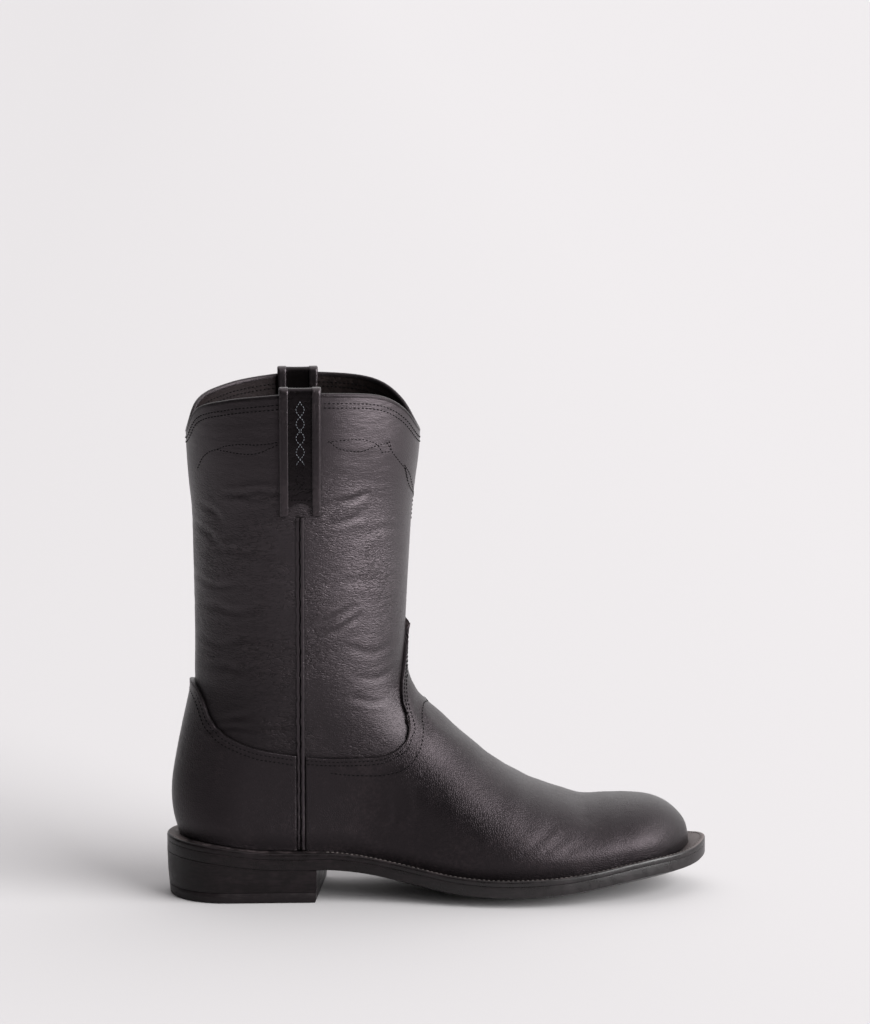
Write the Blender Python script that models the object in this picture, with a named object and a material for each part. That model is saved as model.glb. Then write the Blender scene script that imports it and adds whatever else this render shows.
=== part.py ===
"""A roper boot for the right foot, as closed solids at their real size in metres.

+X points to the toe, +Z up and -Y to the outer (lateral) side. The origin is the centre of
the heel's rest face on the floor. Every piece reads its size from the named values below, and
the upper, its overlays, piping and straps all read one surface function of the last.
"""

import math
from typing import NamedTuple

import bmesh
import bpy
import numpy as np

# Sole
SOLE_LENGTH = 0.3045
HEEL_BEHIND = 0.037
BALL_WIDTH = 0.106
TOE_ROUND = 0.040
HEEL_ROUND = 0.035
OUTSOLE_THICKNESS = 0.006
WELT_THICKNESS = 0.0032
INSOLE_THICKNESS = 0.0062
BALL_CROWN = 0.0065
FLAT_HALF_WIDTH = 0.015
TOE_SPRING = 0.0190
EDGE_ROUND = 0.0008

# Heel
HEEL_HEIGHT = 0.0189
SEAT_PITCH = 0.0060
LIFT_THICKNESS = 0.006
HEEL_LENGTH = 0.0875
BREAST_SLANT = 0.0040
HEEL_TAPER = 0.0016

# Upper
WALL = 0.0022
SHAFT_RISE = 0.2795
COLLAR_SCALLOP = 0.0255
SHAFT_DEPTH = 0.130
SHAFT_WIDTH = 0.104
SHAFT_ROUND = 0.060
INSTEP_RISE = 0.110
HEEL_CURVE = 0.034
TUCK = 0.0025
TUCK_HEIGHT = 0.012
WELT_MARGIN_TOE = 0.0095
WELT_MARGIN_SIDE = 0.0048
WELT_MARGIN_HEEL = 0.0067
SEAM_X = 0.0382
VAMP_TIP_RISE = 0.143
COUNTER_TIP_RISE = 0.112
QUARTER_RISE = 0.0740

# Overlays, trim and clearances
GAP = 0.0004
SEAT_GAP = 0.0006
OVERLAY_WALL = 0.0014
SEAM_HALF_WIDTH = 0.0018
PIPING_HALF_WIDTH = 0.0013
PIPING_HEIGHT = 0.0021
BINDING_INSET = 0.0001
BINDING_HEIGHT = 0.0022
STRAP_WIDTH = 0.023
STRAP_WALL = 0.0014
STRAP_BAND_WIDTH = 0.005
STRAP_BAND_STEP = 0.0008
STRAP_DROP = 0.0665
STRAP_LOOP_SLACK = 0.0010
STRAP_TUCK_LENGTH = 0.030
INSOLE_CLEARANCE = 0.0008

# How finely the meshes are cut
BACK_COLUMNS = 8
FRONT_COLUMNS = 16
SHAFT_ROWS = 8
FOOT_ROWS = 11
SOLE_STATIONS = 40
SOLE_ACROSS = 8
HEEL_STATIONS = 12
PIPING_STATIONS = 19
STRAP_STATIONS_OUT = 7
STRAP_STATIONS_BEND = 7
STRAP_STATIONS_IN = 4
PATH_SAMPLES = 80
SEAT_SAMPLES = 9
CURVE_STEPS = 16
STEP = 1e-4
STEP_SHARE = 4e-3

# How the parts of the last blend: shares of the sizes that are named beside them
ANKLE_START = 0.40  # INSTEP_RISE
ANKLE_RUN = 0.70  # INSTEP_RISE
HEEL_GROWTH = 0.50  # SHAFT_RISE
TOE_BOX_START = 0.64  # FEATHER_TIP
TOE_BOX_RUN = 0.16  # FEATHER_TIP
FOLLOW_FRONT = 0.40  # the front half of a ring
FOLLOW_BACK = 0.80  # the back half of a ring
FOLLOW_BACK_RUN = 0.50  # the back half of a ring
NEAR_FRONT = 0.012
RIDGE_SLOPE = 0.0033
VAMP_LEAN = -0.57
SEAM_REACH = 0.06  # the turns on each side of the seam in which it is looked for
COLUMN_CLEAR = 0.012  # the least turn between an overlay's edge and its next column

# What follows from the sizes above
SOLE_BACK = -HEEL_BEHIND
SOLE_TIP = SOLE_LENGTH - HEEL_BEHIND
STACK = OUTSOLE_THICKNESS + WELT_THICKNESS + SEAT_GAP
OVERLAY_OUT = GAP + OVERLAY_WALL
FEATHER_BACK = SOLE_BACK + WELT_MARGIN_HEEL + OVERLAY_OUT
FEATHER_TIP = SOLE_TIP - WELT_MARGIN_TOE - OVERLAY_OUT
FEATHER_SIDE = WELT_MARGIN_SIDE + OVERLAY_OUT
COLLAR_HEIGHT = STACK + SHAFT_RISE - GAP - BINDING_HEIGHT
SEAM_SHARE = BACK_COLUMNS / (BACK_COLUMNS + FRONT_COLUMNS)
BREAST_X = SOLE_BACK + HEEL_LENGTH


class Station(NamedTuple):
    """One place along the sole; the halves are shares of BALL_WIDTH, from the straight axis."""

    along: float
    lateral: float
    medial: float


class Level(NamedTuple):
    """Height of the sole's underside: shares of HEEL_HEIGHT, SEAT_PITCH, TOE_SPRING, BALL_CROWN."""

    along: float
    heel: float
    pitch: float
    spring: float
    crown: float


class Girth(NamedTuple):
    """One height of the shaft: a share of SHAFT_RISE, then shares of SHAFT_DEPTH and SHAFT_WIDTH."""

    up: float
    back: float
    front: float
    half: float


class Ridge(NamedTuple):
    """A point on the foot's top line: shares of FEATHER_TIP and of INSTEP_RISE above the stack."""

    along: float
    up: float
    round: float


class HeelPoint(NamedTuple):
    """A point on the heel's back line: shares of SHAFT_RISE and of HEEL_CURVE behind the origin."""

    up: float
    behind: float


class EdgePoint(NamedTuple):
    """A point on a top edge in side view: a share of its run along X and of its rise."""

    run: float
    rise: float


class ShaftRing(NamedTuple):
    """A row round the shaft: shares of SHAFT_RISE for its ends, its seam and its bow."""

    row: float
    up: float
    seam_lift: float
    bow: float


class FootRing(NamedTuple):
    """A row round the foot, between the overlays' top edge (1) and the seat (2).

    back is a share of SHAFT_RISE, seam a share of the way from the seat to the top edge at the
    seam, travel a share of the front line below the vamp's tip, and sag a share of INSTEP_RISE.
    """

    row: float
    back: float
    seam: float
    travel: float
    sag: float
    lean: float


class BeadPoint(NamedTuple):
    """A corner of a bead's section: shares of its half width and of its height."""

    across: float
    up: float


OUTLINE = (
    Station(0.000, 0.330, 0.318),
    Station(0.120, 0.336, 0.326),
    Station(0.250, 0.336, 0.316),
    Station(0.370, 0.338, 0.304),
    Station(0.450, 0.380, 0.336),
    Station(0.530, 0.446, 0.408),
    Station(0.615, 0.493, 0.475),
    Station(0.700, 0.496, 0.505),
    Station(0.780, 0.460, 0.505),
    Station(0.860, 0.392, 0.462),
    Station(0.940, 0.318, 0.405),
    Station(1.000, 0.262, 0.355),
)

LEVELS = (
    Level(0.000, 1.00, 1.00, 0.00, 0.00),
    Level(0.080, 1.00, 0.68, 0.00, 0.00),
    Level(0.175, 1.00, 0.10, 0.00, 0.00),
    Level(0.250, 1.00, 0.00, 0.00, 0.00),
    Level(0.295, 0.97, 0.00, 0.00, 0.10),
    Level(0.345, 0.83, 0.00, 0.00, 0.30),
    Level(0.400, 0.63, 0.00, 0.00, 0.45),
    Level(0.460, 0.36, 0.00, 0.00, 0.68),
    Level(0.520, 0.12, 0.00, 0.00, 0.88),
    Level(0.575, 0.00, 0.00, 0.00, 1.00),
    Level(0.665, 0.00, 0.00, 0.00, 1.00),
    Level(0.735, 0.00, 0.00, 0.07, 1.00),
    Level(0.790, 0.00, 0.00, 0.19, 1.00),
    Level(0.840, 0.00, 0.00, 0.33, 0.98),
    Level(0.895, 0.00, 0.00, 0.49, 0.92),
    Level(0.940, 0.00, 0.00, 0.66, 0.85),
    Level(1.000, 0.00, 0.00, 1.00, 0.80),
)

SHAFT = (
    Girth(1.030, 0.188, 0.806, 0.500),
    Girth(0.880, 0.189, 0.811, 0.490),
    Girth(0.800, 0.178, 0.791, 0.480),
    Girth(0.750, 0.167, 0.778, 0.470),
    Girth(0.640, 0.161, 0.763, 0.445),
    Girth(0.500, 0.157, 0.748, 0.410),
    Girth(0.420, 0.159, 0.746, 0.392),
    Girth(0.300, 0.170, 0.746, 0.375),
)

FRONT_RIDGE = (
    Ridge(0.390, 0.980, 0.050),
    Ridge(0.410, 0.910, 0.049),
    Ridge(0.456, 0.815, 0.047),
    Ridge(0.501, 0.714, 0.046),
    Ridge(0.547, 0.624, 0.044),
    Ridge(0.594, 0.542, 0.042),
    Ridge(0.641, 0.484, 0.040),
    Ridge(0.697, 0.425, 0.037),
    Ridge(0.758, 0.382, 0.033),
    Ridge(0.793, 0.370, 0.031),
    Ridge(0.829, 0.373, 0.029),
    Ridge(0.876, 0.373, 0.026),
    Ridge(0.921, 0.361, 0.024),
    Ridge(0.952, 0.332, 0.021),
    Ridge(0.978, 0.282, 0.017),
    Ridge(0.993, 0.230, 0.012),
)

HEEL_LINE = (
    HeelPoint(0.400, 0.610),
    HeelPoint(0.355, 0.690),
    HeelPoint(0.300, 0.790),
    HeelPoint(0.245, 0.880),
    HeelPoint(0.200, 0.940),
    HeelPoint(0.165, 0.953),
    HeelPoint(0.130, 0.925),
)

VAMP_EDGE = (
    EdgePoint(0.000, 0.000),
    EdgePoint(0.260, -0.020),
    EdgePoint(0.520, -0.020),
    EdgePoint(0.740, -0.010),
    EdgePoint(0.890, 0.035),
    EdgePoint(0.985, 0.110),
    EdgePoint(1.015, 0.200),
    EdgePoint(0.985, 0.300),
    EdgePoint(0.945, 0.400),
    EdgePoint(0.935, 0.520),
    EdgePoint(0.965, 0.680),
    EdgePoint(0.990, 0.860),
    EdgePoint(1.000, 1.000),
)

COUNTER_EDGE = (
    EdgePoint(0.000, 0.000),
    EdgePoint(0.200, 0.050),
    EdgePoint(0.420, 0.115),
    EdgePoint(0.620, 0.225),
    EdgePoint(0.770, 0.375),
    EdgePoint(0.850, 0.540),
    EdgePoint(0.900, 0.740),
    EdgePoint(0.950, 0.900),
    EdgePoint(1.000, 1.000),
)

COLLAR_BACK = (
    EdgePoint(0.000, 0.000),
    EdgePoint(0.096, 0.541),
    EdgePoint(0.351, 0.784),
    EdgePoint(1.000, 1.000),
)

COLLAR_FRONT = (
    EdgePoint(0.000, 0.000),
    EdgePoint(0.671, 0.137),
    EdgePoint(0.865, 0.459),
    EdgePoint(1.000, 1.000),
)

SHAFT_RINGS = (
    ShaftRing(0.20, 0.808, 0.018, 0.0036),
    ShaftRing(0.45, 0.640, -0.021, 0.0000),
)

FOOT_RINGS = (
    FootRing(1.25, 0.315, 0.80, 0.26, 0.14, 0.50),
    FootRing(1.50, 0.235, 0.56, 0.56, 0.10, 0.25),
    FootRing(1.72, 0.165, 0.32, 0.86, 0.06, 0.05),
)

FOOT_BENDS = (
    EdgePoint(0.45, 1.00),
    EdgePoint(0.80, 0.75),
)

PIPING_SECTION = (
    BeadPoint(-1.0, 0.0),
    BeadPoint(-0.8, 0.6),
    BeadPoint(0.0, 1.0),
    BeadPoint(0.8, 0.6),
    BeadPoint(1.0, 0.0),
)

BINDING_SECTION = (
    BeadPoint(1.0, 0.0),
    BeadPoint(1.0, 0.55),
    BeadPoint(0.0, 1.0),
    BeadPoint(-1.0, 0.55),
    BeadPoint(-1.0, 0.0),
)


def smooth(share):
    """A share that starts and ends level between 0 and 1."""
    share = np.clip(share, 0.0, 1.0)
    return share * share * (3.0 - 2.0 * share)


def mix(first, second, share):
    return first + (second - first) * share


def rounding(share):
    """The half width of a quarter ellipse at a share of its depth, and 1 beyond it."""
    share = np.clip(share, 0.0, 1.0)
    return np.sqrt(share * (2.0 - share))


def curve_through(points, samples, lean=0.0):
    """A smooth line through hand-chosen points, resampled along its length.

    A lean over 0 spaces the samples closer together toward the end, and one under 0 toward
    the start.
    """
    points = np.asarray(points, float)
    padded = np.vstack([2 * points[0] - points[1], points, 2 * points[-1] - points[-2]])
    lengths = np.linalg.norm(np.diff(padded, axis=0), axis=1)
    knots = np.concatenate([[0.0], np.cumsum(np.sqrt(lengths))])
    line = []
    for i in range(1, len(padded) - 2):
        at = np.linspace(knots[i], knots[i + 1], CURVE_STEPS, endpoint=False)[:, None]
        line.append(catmull(padded[i - 1 : i + 3], knots[i - 1 : i + 3], at))
    line = np.vstack(line + [points[-1:]])
    along = np.concatenate([[0.0], np.cumsum(np.linalg.norm(np.diff(line, axis=0), axis=1))])
    share = np.linspace(0.0, 1.0, samples)
    share = (share + lean * share * (1.0 - share)) * along[-1]
    return np.column_stack([np.interp(share, along, line[:, k]) for k in range(line.shape[1])])


def catmull(p, t, at):
    """The centripetal Catmull-Rom stretch between the second and the third of four points."""

    def between(a, b, ta, tb):
        return a * (tb - at) / (tb - ta) + b * (at - ta) / (tb - ta)

    first = between(p[0], p[1], t[0], t[1])
    second = between(p[1], p[2], t[1], t[2])
    third = between(p[2], p[3], t[2], t[3])
    lower = between(first, second, t[0], t[2])
    upper = between(second, third, t[1], t[3])
    return between(lower, upper, t[1], t[2])


def table_curve(rows, column, share):
    """A column of a table as a smooth function of its first column."""
    keys = np.array([row[0] for row in rows])
    values = np.array([getattr(row, column) for row in rows])
    slopes = np.gradient(values, keys)
    share = np.clip(share, keys[0], keys[-1])
    i = np.clip(np.searchsorted(keys, share, side="right") - 1, 0, len(keys) - 2)
    span = keys[i + 1] - keys[i]
    t = (share - keys[i]) / span
    rise, fall = smooth(t), 1.0 - smooth(t)
    start = t * (1.0 - t) ** 2 * span * slopes[i]
    end = t * t * (1.0 - t) * span * slopes[i + 1]
    return fall * values[i] + rise * values[i + 1] + start - end


def sole_share(x):
    return (np.asarray(x, float) - SOLE_BACK) / SOLE_LENGTH


def flat_halves(x):
    """The sole's half width and the place of its middle, before its ends are rounded."""
    lateral = BALL_WIDTH * table_curve(OUTLINE, "lateral", sole_share(x))
    medial = BALL_WIDTH * table_curve(OUTLINE, "medial", sole_share(x))
    return (lateral + medial) / 2.0, (medial - lateral) / 2.0


def inset_half(x, side, back, tip):
    """The half width of an outline that lies inside the sole's, between its own two ends."""
    half, _ = flat_halves(x)
    heel = rounding((x - back) / (HEEL_ROUND - side))
    toe = rounding((tip - x) / (TOE_ROUND - side))
    return (half - side) * heel * toe


def sole_under(x, y):
    """Height of the outsole's underside."""
    share = sole_share(x)
    rise = HEEL_HEIGHT * table_curve(LEVELS, "heel", share)
    rise = rise + SEAT_PITCH * table_curve(LEVELS, "pitch", share)
    rise = rise + TOE_SPRING * table_curve(LEVELS, "spring", share)
    half, middle = flat_halves(x)
    out = np.clip((np.abs(y - middle) - FLAT_HALF_WIDTH) / (half - FLAT_HALF_WIDTH), 0.0, 1.0)
    rise = rise + BALL_CROWN * table_curve(LEVELS, "crown", share) * out * out
    return np.where(rise < STEP / 100, 0.0, rise)


def sole_over(x, y):
    return sole_under(x, y) + OUTSOLE_THICKNESS


def welt_over(x, y):
    return sole_over(x, y) + SEAT_GAP + WELT_THICKNESS


def seat_height(x):
    """Height of the upper's lower edge at a place along the boot."""
    half, middle = flat_halves(x)
    edge = inset_half(x, FEATHER_SIDE, FEATHER_BACK, FEATHER_TIP)
    return welt_over(x, middle + np.minimum(edge, half)) + SEAT_GAP


def front_line():
    """The upper's front in side view, from above the collar down to the toe."""
    shaft = [(SHAFT_DEPTH * row.front, STACK + SHAFT_RISE * row.up) for row in SHAFT[:-1]]
    foot = [(FEATHER_TIP * row.along, STACK + INSTEP_RISE * row.up) for row in FRONT_RIDGE]
    toe = (FEATHER_TIP, float(seat_height(FEATHER_TIP)))
    return curve_through(shaft + foot + [toe], 6 * PATH_SAMPLES)


def back_line():
    """The upper's back in side view, from above the collar down to the heel seat."""
    shaft = [(-SHAFT_DEPTH * row.back, STACK + SHAFT_RISE * row.up) for row in SHAFT[:-1]]
    heel = [(-HEEL_CURVE * row.behind, STACK + SHAFT_RISE * row.up) for row in HEEL_LINE]
    seat = (FEATHER_BACK, float(seat_height(FEATHER_BACK)))
    return curve_through(shaft + heel + [seat], 3 * PATH_SAMPLES)


FRONT = front_line()
BACK = back_line()


def place_on(line, height):
    """The share of a profile line at which it first comes down to a height."""
    below = np.nonzero(line[:, 1] <= height)[0]
    return (below[0] if len(below) else len(line) - 1) / (len(line) - 1)


def at_share(line, share):
    at = np.clip(share, 0.0, 1.0) * (len(line) - 1)
    return np.array([np.interp(at, np.arange(len(line)), line[:, k]) for k in (0, 1)])


def edge_points(rows, start, end):
    """An overlay's edge in side view, between two places."""
    start, end = np.asarray(start), np.asarray(end)
    return [
        (mix(start[0], end[0], row.run), mix(start[1], end[1], row.rise)) for row in rows
    ]


class Ring(NamedTuple):
    """A line round the upper in side view: back to seam, then seam to front."""

    back: np.ndarray
    front: np.ndarray
    back_share: float
    front_share: float


def ring(back_height, seam_height, front_share, bow, back_path=None, front_path=None, lean=0.0):
    """A ring from its ends on the two profiles; bow lifts or lowers the middle of each half."""
    back_share = place_on(BACK, back_height)
    start, end = at_share(BACK, back_share), at_share(FRONT, front_share)
    seam = np.array([SEAM_X, seam_height])
    lift = np.array([0.0, bow])
    back = back_path or [start, mix(start, seam, 0.5) + lift, seam]
    front = front_path or [seam, mix(seam, end, 0.5) + lift, end]
    return Ring(
        curve_through(back, PATH_SAMPLES),
        curve_through(front, PATH_SAMPLES, lean),
        back_share,
        front_share,
    )


def foot_path(seam_height, front_share, sag):
    """The front half of a ring on the foot: low along the side, then up to the top line."""
    end = at_share(FRONT, front_share)
    seam = np.array([SEAM_X, seam_height])
    sagging = [mix(seam, end, bend.run) - np.array([0.0, bend.rise * sag]) for bend in FOOT_BENDS]
    return [seam, *sagging, end]


def seat_path(first, last):
    xs = np.linspace(first, last, SEAT_SAMPLES)
    return [(x, float(seat_height(x))) for x in xs]


def collar_ring():
    """The rim: high at the side seams, and down in a scallop at the back and the front."""
    scallop = COLLAR_HEIGHT - COLLAR_SCALLOP
    front_share = place_on(FRONT, scallop)
    seam = (SEAM_X, COLLAR_HEIGHT)
    back = edge_points(COLLAR_BACK, at_share(BACK, place_on(BACK, scallop)), seam)
    front = edge_points(COLLAR_FRONT, seam, at_share(FRONT, front_share))
    return ring(scallop, COLLAR_HEIGHT, front_share, 0.0, back, front)


def shaft_ring(row):
    height = STACK + row.up * SHAFT_RISE
    seam_height = height + row.seam_lift * SHAFT_RISE
    return ring(height, seam_height, place_on(FRONT, height), row.bow * SHAFT_RISE)


def key_rings():
    """The rings that the rows of the upper pass through, top to bottom, with their row shares."""
    rings = [(0.0, collar_ring())] + [(row.row, shaft_ring(row)) for row in SHAFT_RINGS]
    tip_share = place_on(FRONT, STACK + VAMP_TIP_RISE)
    counter_tip = at_share(BACK, place_on(BACK, STACK + COUNTER_TIP_RISE))
    quarter = np.array([SEAM_X, STACK + QUARTER_RISE])
    counter = edge_points(COUNTER_EDGE, quarter, counter_tip)[::-1]
    vamp = edge_points(VAMP_EDGE, quarter, at_share(FRONT, tip_share))
    rings.append((1.0, ring(counter_tip[1], quarter[1], tip_share, 0.0, counter, vamp, VAMP_LEAN)))
    seat_seam = float(seat_height(SEAM_X))
    for row in FOOT_RINGS:
        seam_height = mix(seat_seam, quarter[1], row.seam)
        share = mix(tip_share, 1.0, row.travel)
        path = foot_path(seam_height, share, row.sag * INSTEP_RISE)
        back_height = STACK + row.back * SHAFT_RISE
        rings.append((row.row, ring(back_height, seam_height, share, 0.0, None, path, row.lean)))
    back, front = seat_path(FEATHER_BACK, SEAM_X), seat_path(SEAM_X, FEATHER_TIP)
    return rings + [(2.0, ring(BACK[-1, 1], seat_seam, 1.0, 0.0, back, front))]


RINGS = key_rings()


def ring_value(values, row):
    """A smooth value between the key rings at a row share."""
    keys = np.array([key for key, _ in RINGS])
    values = np.asarray(values, float)
    flat = values.reshape(len(keys), -1)
    slopes = np.gradient(flat, keys, axis=0)
    i = int(np.clip(np.searchsorted(keys, row, side="right") - 1, 0, len(keys) - 2))
    span = keys[i + 1] - keys[i]
    t = (row - keys[i]) / span
    rise = t * t * (3.0 - 2.0 * t)
    start = t * (1.0 - t) ** 2 * span * slopes[i]
    end = t * t * (1.0 - t) * span * slopes[i + 1]
    out = (1.0 - rise) * flat[i] + rise * flat[i + 1] + start - end
    return out.reshape(values.shape[1:])


def halves_of(turn):
    """Shares along a ring's back half and its front half, closer together at both profiles."""
    behind = np.clip(turn / SEAM_SHARE, 0.0, 1.0)
    ahead = np.clip((turn - SEAM_SHARE) / (1.0 - SEAM_SHARE), 0.0, 1.0)
    return behind**2 * (2.0 - behind), 1.0 - (1.0 - ahead) ** 2 * (1.0 + ahead)


def back_x(z):
    return np.interp(-z, -BACK[:, 1], BACK[:, 0])


def ring_depths(turn):
    """How far each key ring lies inside the front line and the back line at these turns."""
    behind, ahead = halves_of(turn)
    samples = np.linspace(0.0, 1.0, PATH_SAMPLES)
    from_front, from_back = [], []
    for _, one in RINGS:
        x, z = (np.interp(ahead, samples, one.front[:, k]) for k in (0, 1))
        from_front.append(np.maximum(off_front(x, z)[2], RIDGE_SLOPE * (1.0 - ahead)))
        x, z = (np.interp(behind, samples, one.back[:, k]) for k in (0, 1))
        from_back.append(x - back_x(z))
    return from_front, from_back


def side_path(row, turn):
    """Places in side view of one ring at turns from 0 (back centre) to 1 (front centre)."""
    back = ring_value([r.back for _, r in RINGS], row)
    front = ring_value([r.front for _, r in RINGS], row)
    heel = at_share(BACK, ring_value([r.back_share for _, r in RINGS], row))
    toe = at_share(FRONT, ring_value([r.front_share for _, r in RINGS], row))
    samples = np.linspace(0.0, 1.0, PATH_SAMPLES)
    back = back + (1.0 - samples[:, None]) ** 2 * (heel - back[0])
    front = front + samples[:, None] ** 2 * (toe - front[-1])
    behind, ahead = halves_of(turn)
    x, z = (
        np.where(
            turn < SEAM_SHARE,
            np.interp(behind, samples, back[:, k]),
            np.interp(ahead, samples, front[:, k]),
        )
        for k in (0, 1)
    )
    foot, inward, depth = off_front(x, z)
    ring_front, ring_back = ring_depths(turn)
    beside = smooth((ahead - FOLLOW_FRONT) / FOLLOW_FRONT) * smooth(2.0 - depth / NEAR_FRONT)
    depth = mix(depth, ring_value(ring_front, row), beside)
    inside = foot + inward * depth[:, None]
    near_front = ahead > FOLLOW_FRONT
    x, z = np.where(near_front, inside[:, 0], x), np.where(near_front, inside[:, 1], z)
    follow = smooth((FOLLOW_BACK - behind) / FOLLOW_BACK_RUN)
    gap = mix(x - back_x(z), ring_value(ring_back, row), follow)
    return np.where(behind < FOLLOW_BACK, back_x(z) + gap, x), z


def off_front(x, z):
    """The nearest places on the front line, the directions into the boot, and how far in."""
    start, run = FRONT[:-1], np.diff(FRONT, axis=0)
    place = np.stack([x, z], axis=1)
    ahead = place[:, None, :] - start[None]
    share = np.clip((ahead * run).sum(axis=2) / (run * run).sum(axis=1), 0.0, 1.0)
    away = np.linalg.norm(ahead - share[..., None] * run, axis=2)
    nearest = away.argmin(axis=1)
    each = np.arange(len(place))
    foot = start[nearest] + share[each, nearest, None] * run[nearest]
    along = run[nearest] / np.linalg.norm(run[nearest], axis=1)[:, None]
    inward = np.stack([along[:, 1], -along[:, 0]], axis=1)
    side = np.where(((place - foot) * inward).sum(axis=1) < 0.0, -1.0, 1.0)
    depth = side * away[each, nearest]
    clear = np.abs(depth) > STEP
    toward = (place - foot) / np.where(clear, depth, 1.0)[:, None]
    return foot, np.where(clear[:, None], toward, inward), depth


def front_radius(foot):
    """How deep the upper's rounding goes in from the front line at places on that line."""
    instep = table_curve(FRONT_RIDGE, "round", foot[:, 0] / FEATHER_TIP)
    leg = smooth((foot[:, 1] - STACK - INSTEP_RISE) / INSTEP_RISE)
    return mix(instep, SHAFT_ROUND, leg)


def last_half(x, z):
    """The half width of the upper's outer face at a place in side view, and its middle."""
    half, middle = flat_halves(x)
    seat = seat_height(x)
    tuck = TUCK * smooth((z - seat) / TUCK_HEIGHT)
    foot = half - FEATHER_SIDE + tuck
    up = (z - STACK) / SHAFT_RISE
    leg = SHAFT_WIDTH * table_curve(SHAFT[::-1], "half", up)
    rise = smooth(((z - STACK) / INSTEP_RISE - ANKLE_START) / ANKLE_RUN)
    width = mix(foot, leg, rise)
    foot_place, _, distance = off_front(np.ravel(x), np.ravel(z))
    distance = distance.reshape(np.shape(x))
    radius = front_radius(foot_place).reshape(np.shape(x))
    foot_line = FRONT[len(FRONT) // 2 :]
    top = np.interp(x, foot_line[:, 0], foot_line[:, 1])
    drop = np.clip((top - z) / np.maximum(top - seat, STEP), 0.0, 1.0)
    toward_toe = smooth((x / FEATHER_TIP - TOE_BOX_START) / TOE_BOX_RUN)
    front = mix(rounding(distance / radius), rounding(drop), toward_toe)
    toe = rounding((FEATHER_TIP - x) / (TOE_ROUND - FEATHER_SIDE))
    reach = mix(HEEL_ROUND - FEATHER_SIDE + tuck, SHAFT_ROUND, smooth(up / HEEL_GROWTH))
    back = rounding((x - back_x(z)) / reach)
    return width * front * toe * back, middle * (1.0 - rise)


def upper_points(rows, turns, out=0.0):
    """Points of the upper's outer face, or at a distance outside it, for rows by turns.

    A turn runs from 0 at the back centre over the lateral side to 1 at the front centre, and on
    over the medial side to 2.
    """
    turns = np.asarray(turns, float)

    def face(row, turn):
        turn = np.mod(turn, 2.0)
        medial = turn > 1.0
        x, z = side_path(row, np.where(medial, 2.0 - turn, turn))
        half, middle = last_half(x, z)
        return np.stack([x, middle + np.where(medial, half, -half), z], axis=1)

    grid = []
    for row in rows:
        points = face(row, turns)
        if out:
            before, after = max(row - STEP_SHARE, 0.0), min(row + STEP_SHARE, 2.0)
            down = face(after, turns) - face(before, turns)
            round_ = face(row, turns + STEP_SHARE) - face(row, turns - STEP_SHARE)
            normal = np.cross(down, round_)
            normal /= np.linalg.norm(normal, axis=1)[:, None]
            points = points + out * normal
            if row >= 2.0:
                points[:, 2] = welt_over(points[:, 0], points[:, 1]) + SEAT_GAP
        grid.append(points)
    return np.array(grid)


def even_rows(first, last, count):
    return np.linspace(first, last, count + 1)


def all_turns():
    side = np.arange(BACK_COLUMNS + FRONT_COLUMNS) / (BACK_COLUMNS + FRONT_COLUMNS)
    return np.concatenate([side, 1.0 + side])


def material(name, hex_colour, roughness):
    """A plain Principled material from an sRGB colour."""
    made = bpy.data.materials.new(name)
    made.use_nodes = True
    shader = made.node_tree.nodes["Principled BSDF"]
    channels = [int(hex_colour[i : i + 2], 16) / 255 for i in (0, 2, 4)]
    linear = [c / 12.92 if c <= 0.04045 else ((c + 0.055) / 1.055) ** 2.4 for c in channels]
    shader.inputs["Base Color"].default_value = (*linear, 1.0)
    shader.inputs["Roughness"].default_value = roughness
    return made


def add_object(name, points, faces, finish):
    """A named object from points and faces, shaded smooth where it is round."""
    mesh = bpy.data.meshes.new(name)
    mesh.from_pydata([tuple(map(float, p)) for p in points], [], faces)
    shell = bmesh.new()
    shell.from_mesh(mesh)
    bmesh.ops.recalc_face_normals(shell, faces=shell.faces)
    shell.to_mesh(mesh)
    shell.free()
    mesh.materials.append(finish)
    mesh.shade_smooth()
    mesh.set_sharp_from_angle(angle=math.radians(40))
    obj = bpy.data.objects.new(name, mesh)
    bpy.context.scene.collection.objects.link(obj)
    return obj


def grid_faces(rows, columns, closed, first=0):
    """Triangles between the points of a grid stored row by row, all cut the same way."""
    faces = []
    for r in range(rows - 1):
        for c in range(columns if closed else columns - 1):
            a = first + r * columns + c
            b = first + r * columns + (c + 1) % columns
            faces.append((a, a + columns, b + columns))
            faces.append((a, b + columns, b))
    return faces


def add_sheet(name, outer, inner, closed, finish):
    """A sheet with thickness: two grids of the same size, joined round their rims."""
    rows, columns = outer.shape[:2]
    count = rows * columns
    faces = grid_faces(rows, columns, closed)
    faces += [tuple(reversed(face)) for face in grid_faces(rows, columns, closed, count)]
    for c in range(columns if closed else columns - 1):
        d = (c + 1) % columns
        low = (rows - 1) * columns
        faces.append((c, d, count + d, count + c))
        faces.append((low + d, low + c, count + low + c, count + low + d))
    if not closed:
        for r in range(rows - 1):
            a, b = r * columns, (r + 1) * columns
            e, f = a + columns - 1, b + columns - 1
            faces.append((b, a, count + a, count + b))
            faces.append((e, f, count + f, count + e))
    points = np.concatenate([outer.reshape(-1, 3), inner.reshape(-1, 3)])
    return add_object(name, points, faces, finish)


def add_tube(name, sections, closed, finish):
    """A strip whose closed cross-sections are joined one to the next, with flat ends."""
    count, sides = sections.shape[:2]
    faces = []
    for i in range(count if closed else count - 1):
        for k in range(sides):
            a, b = i * sides + k, i * sides + (k + 1) % sides
            c, d = ((i + 1) % count) * sides + (k + 1) % sides, ((i + 1) % count) * sides + k
            faces.append((a, b, c, d))
    if not closed:
        faces.append(tuple(range(sides))[::-1])
        faces.append(tuple((count - 1) * sides + k for k in range(sides)))
    return add_object(name, sections.reshape(-1, 3), faces, finish)


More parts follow.
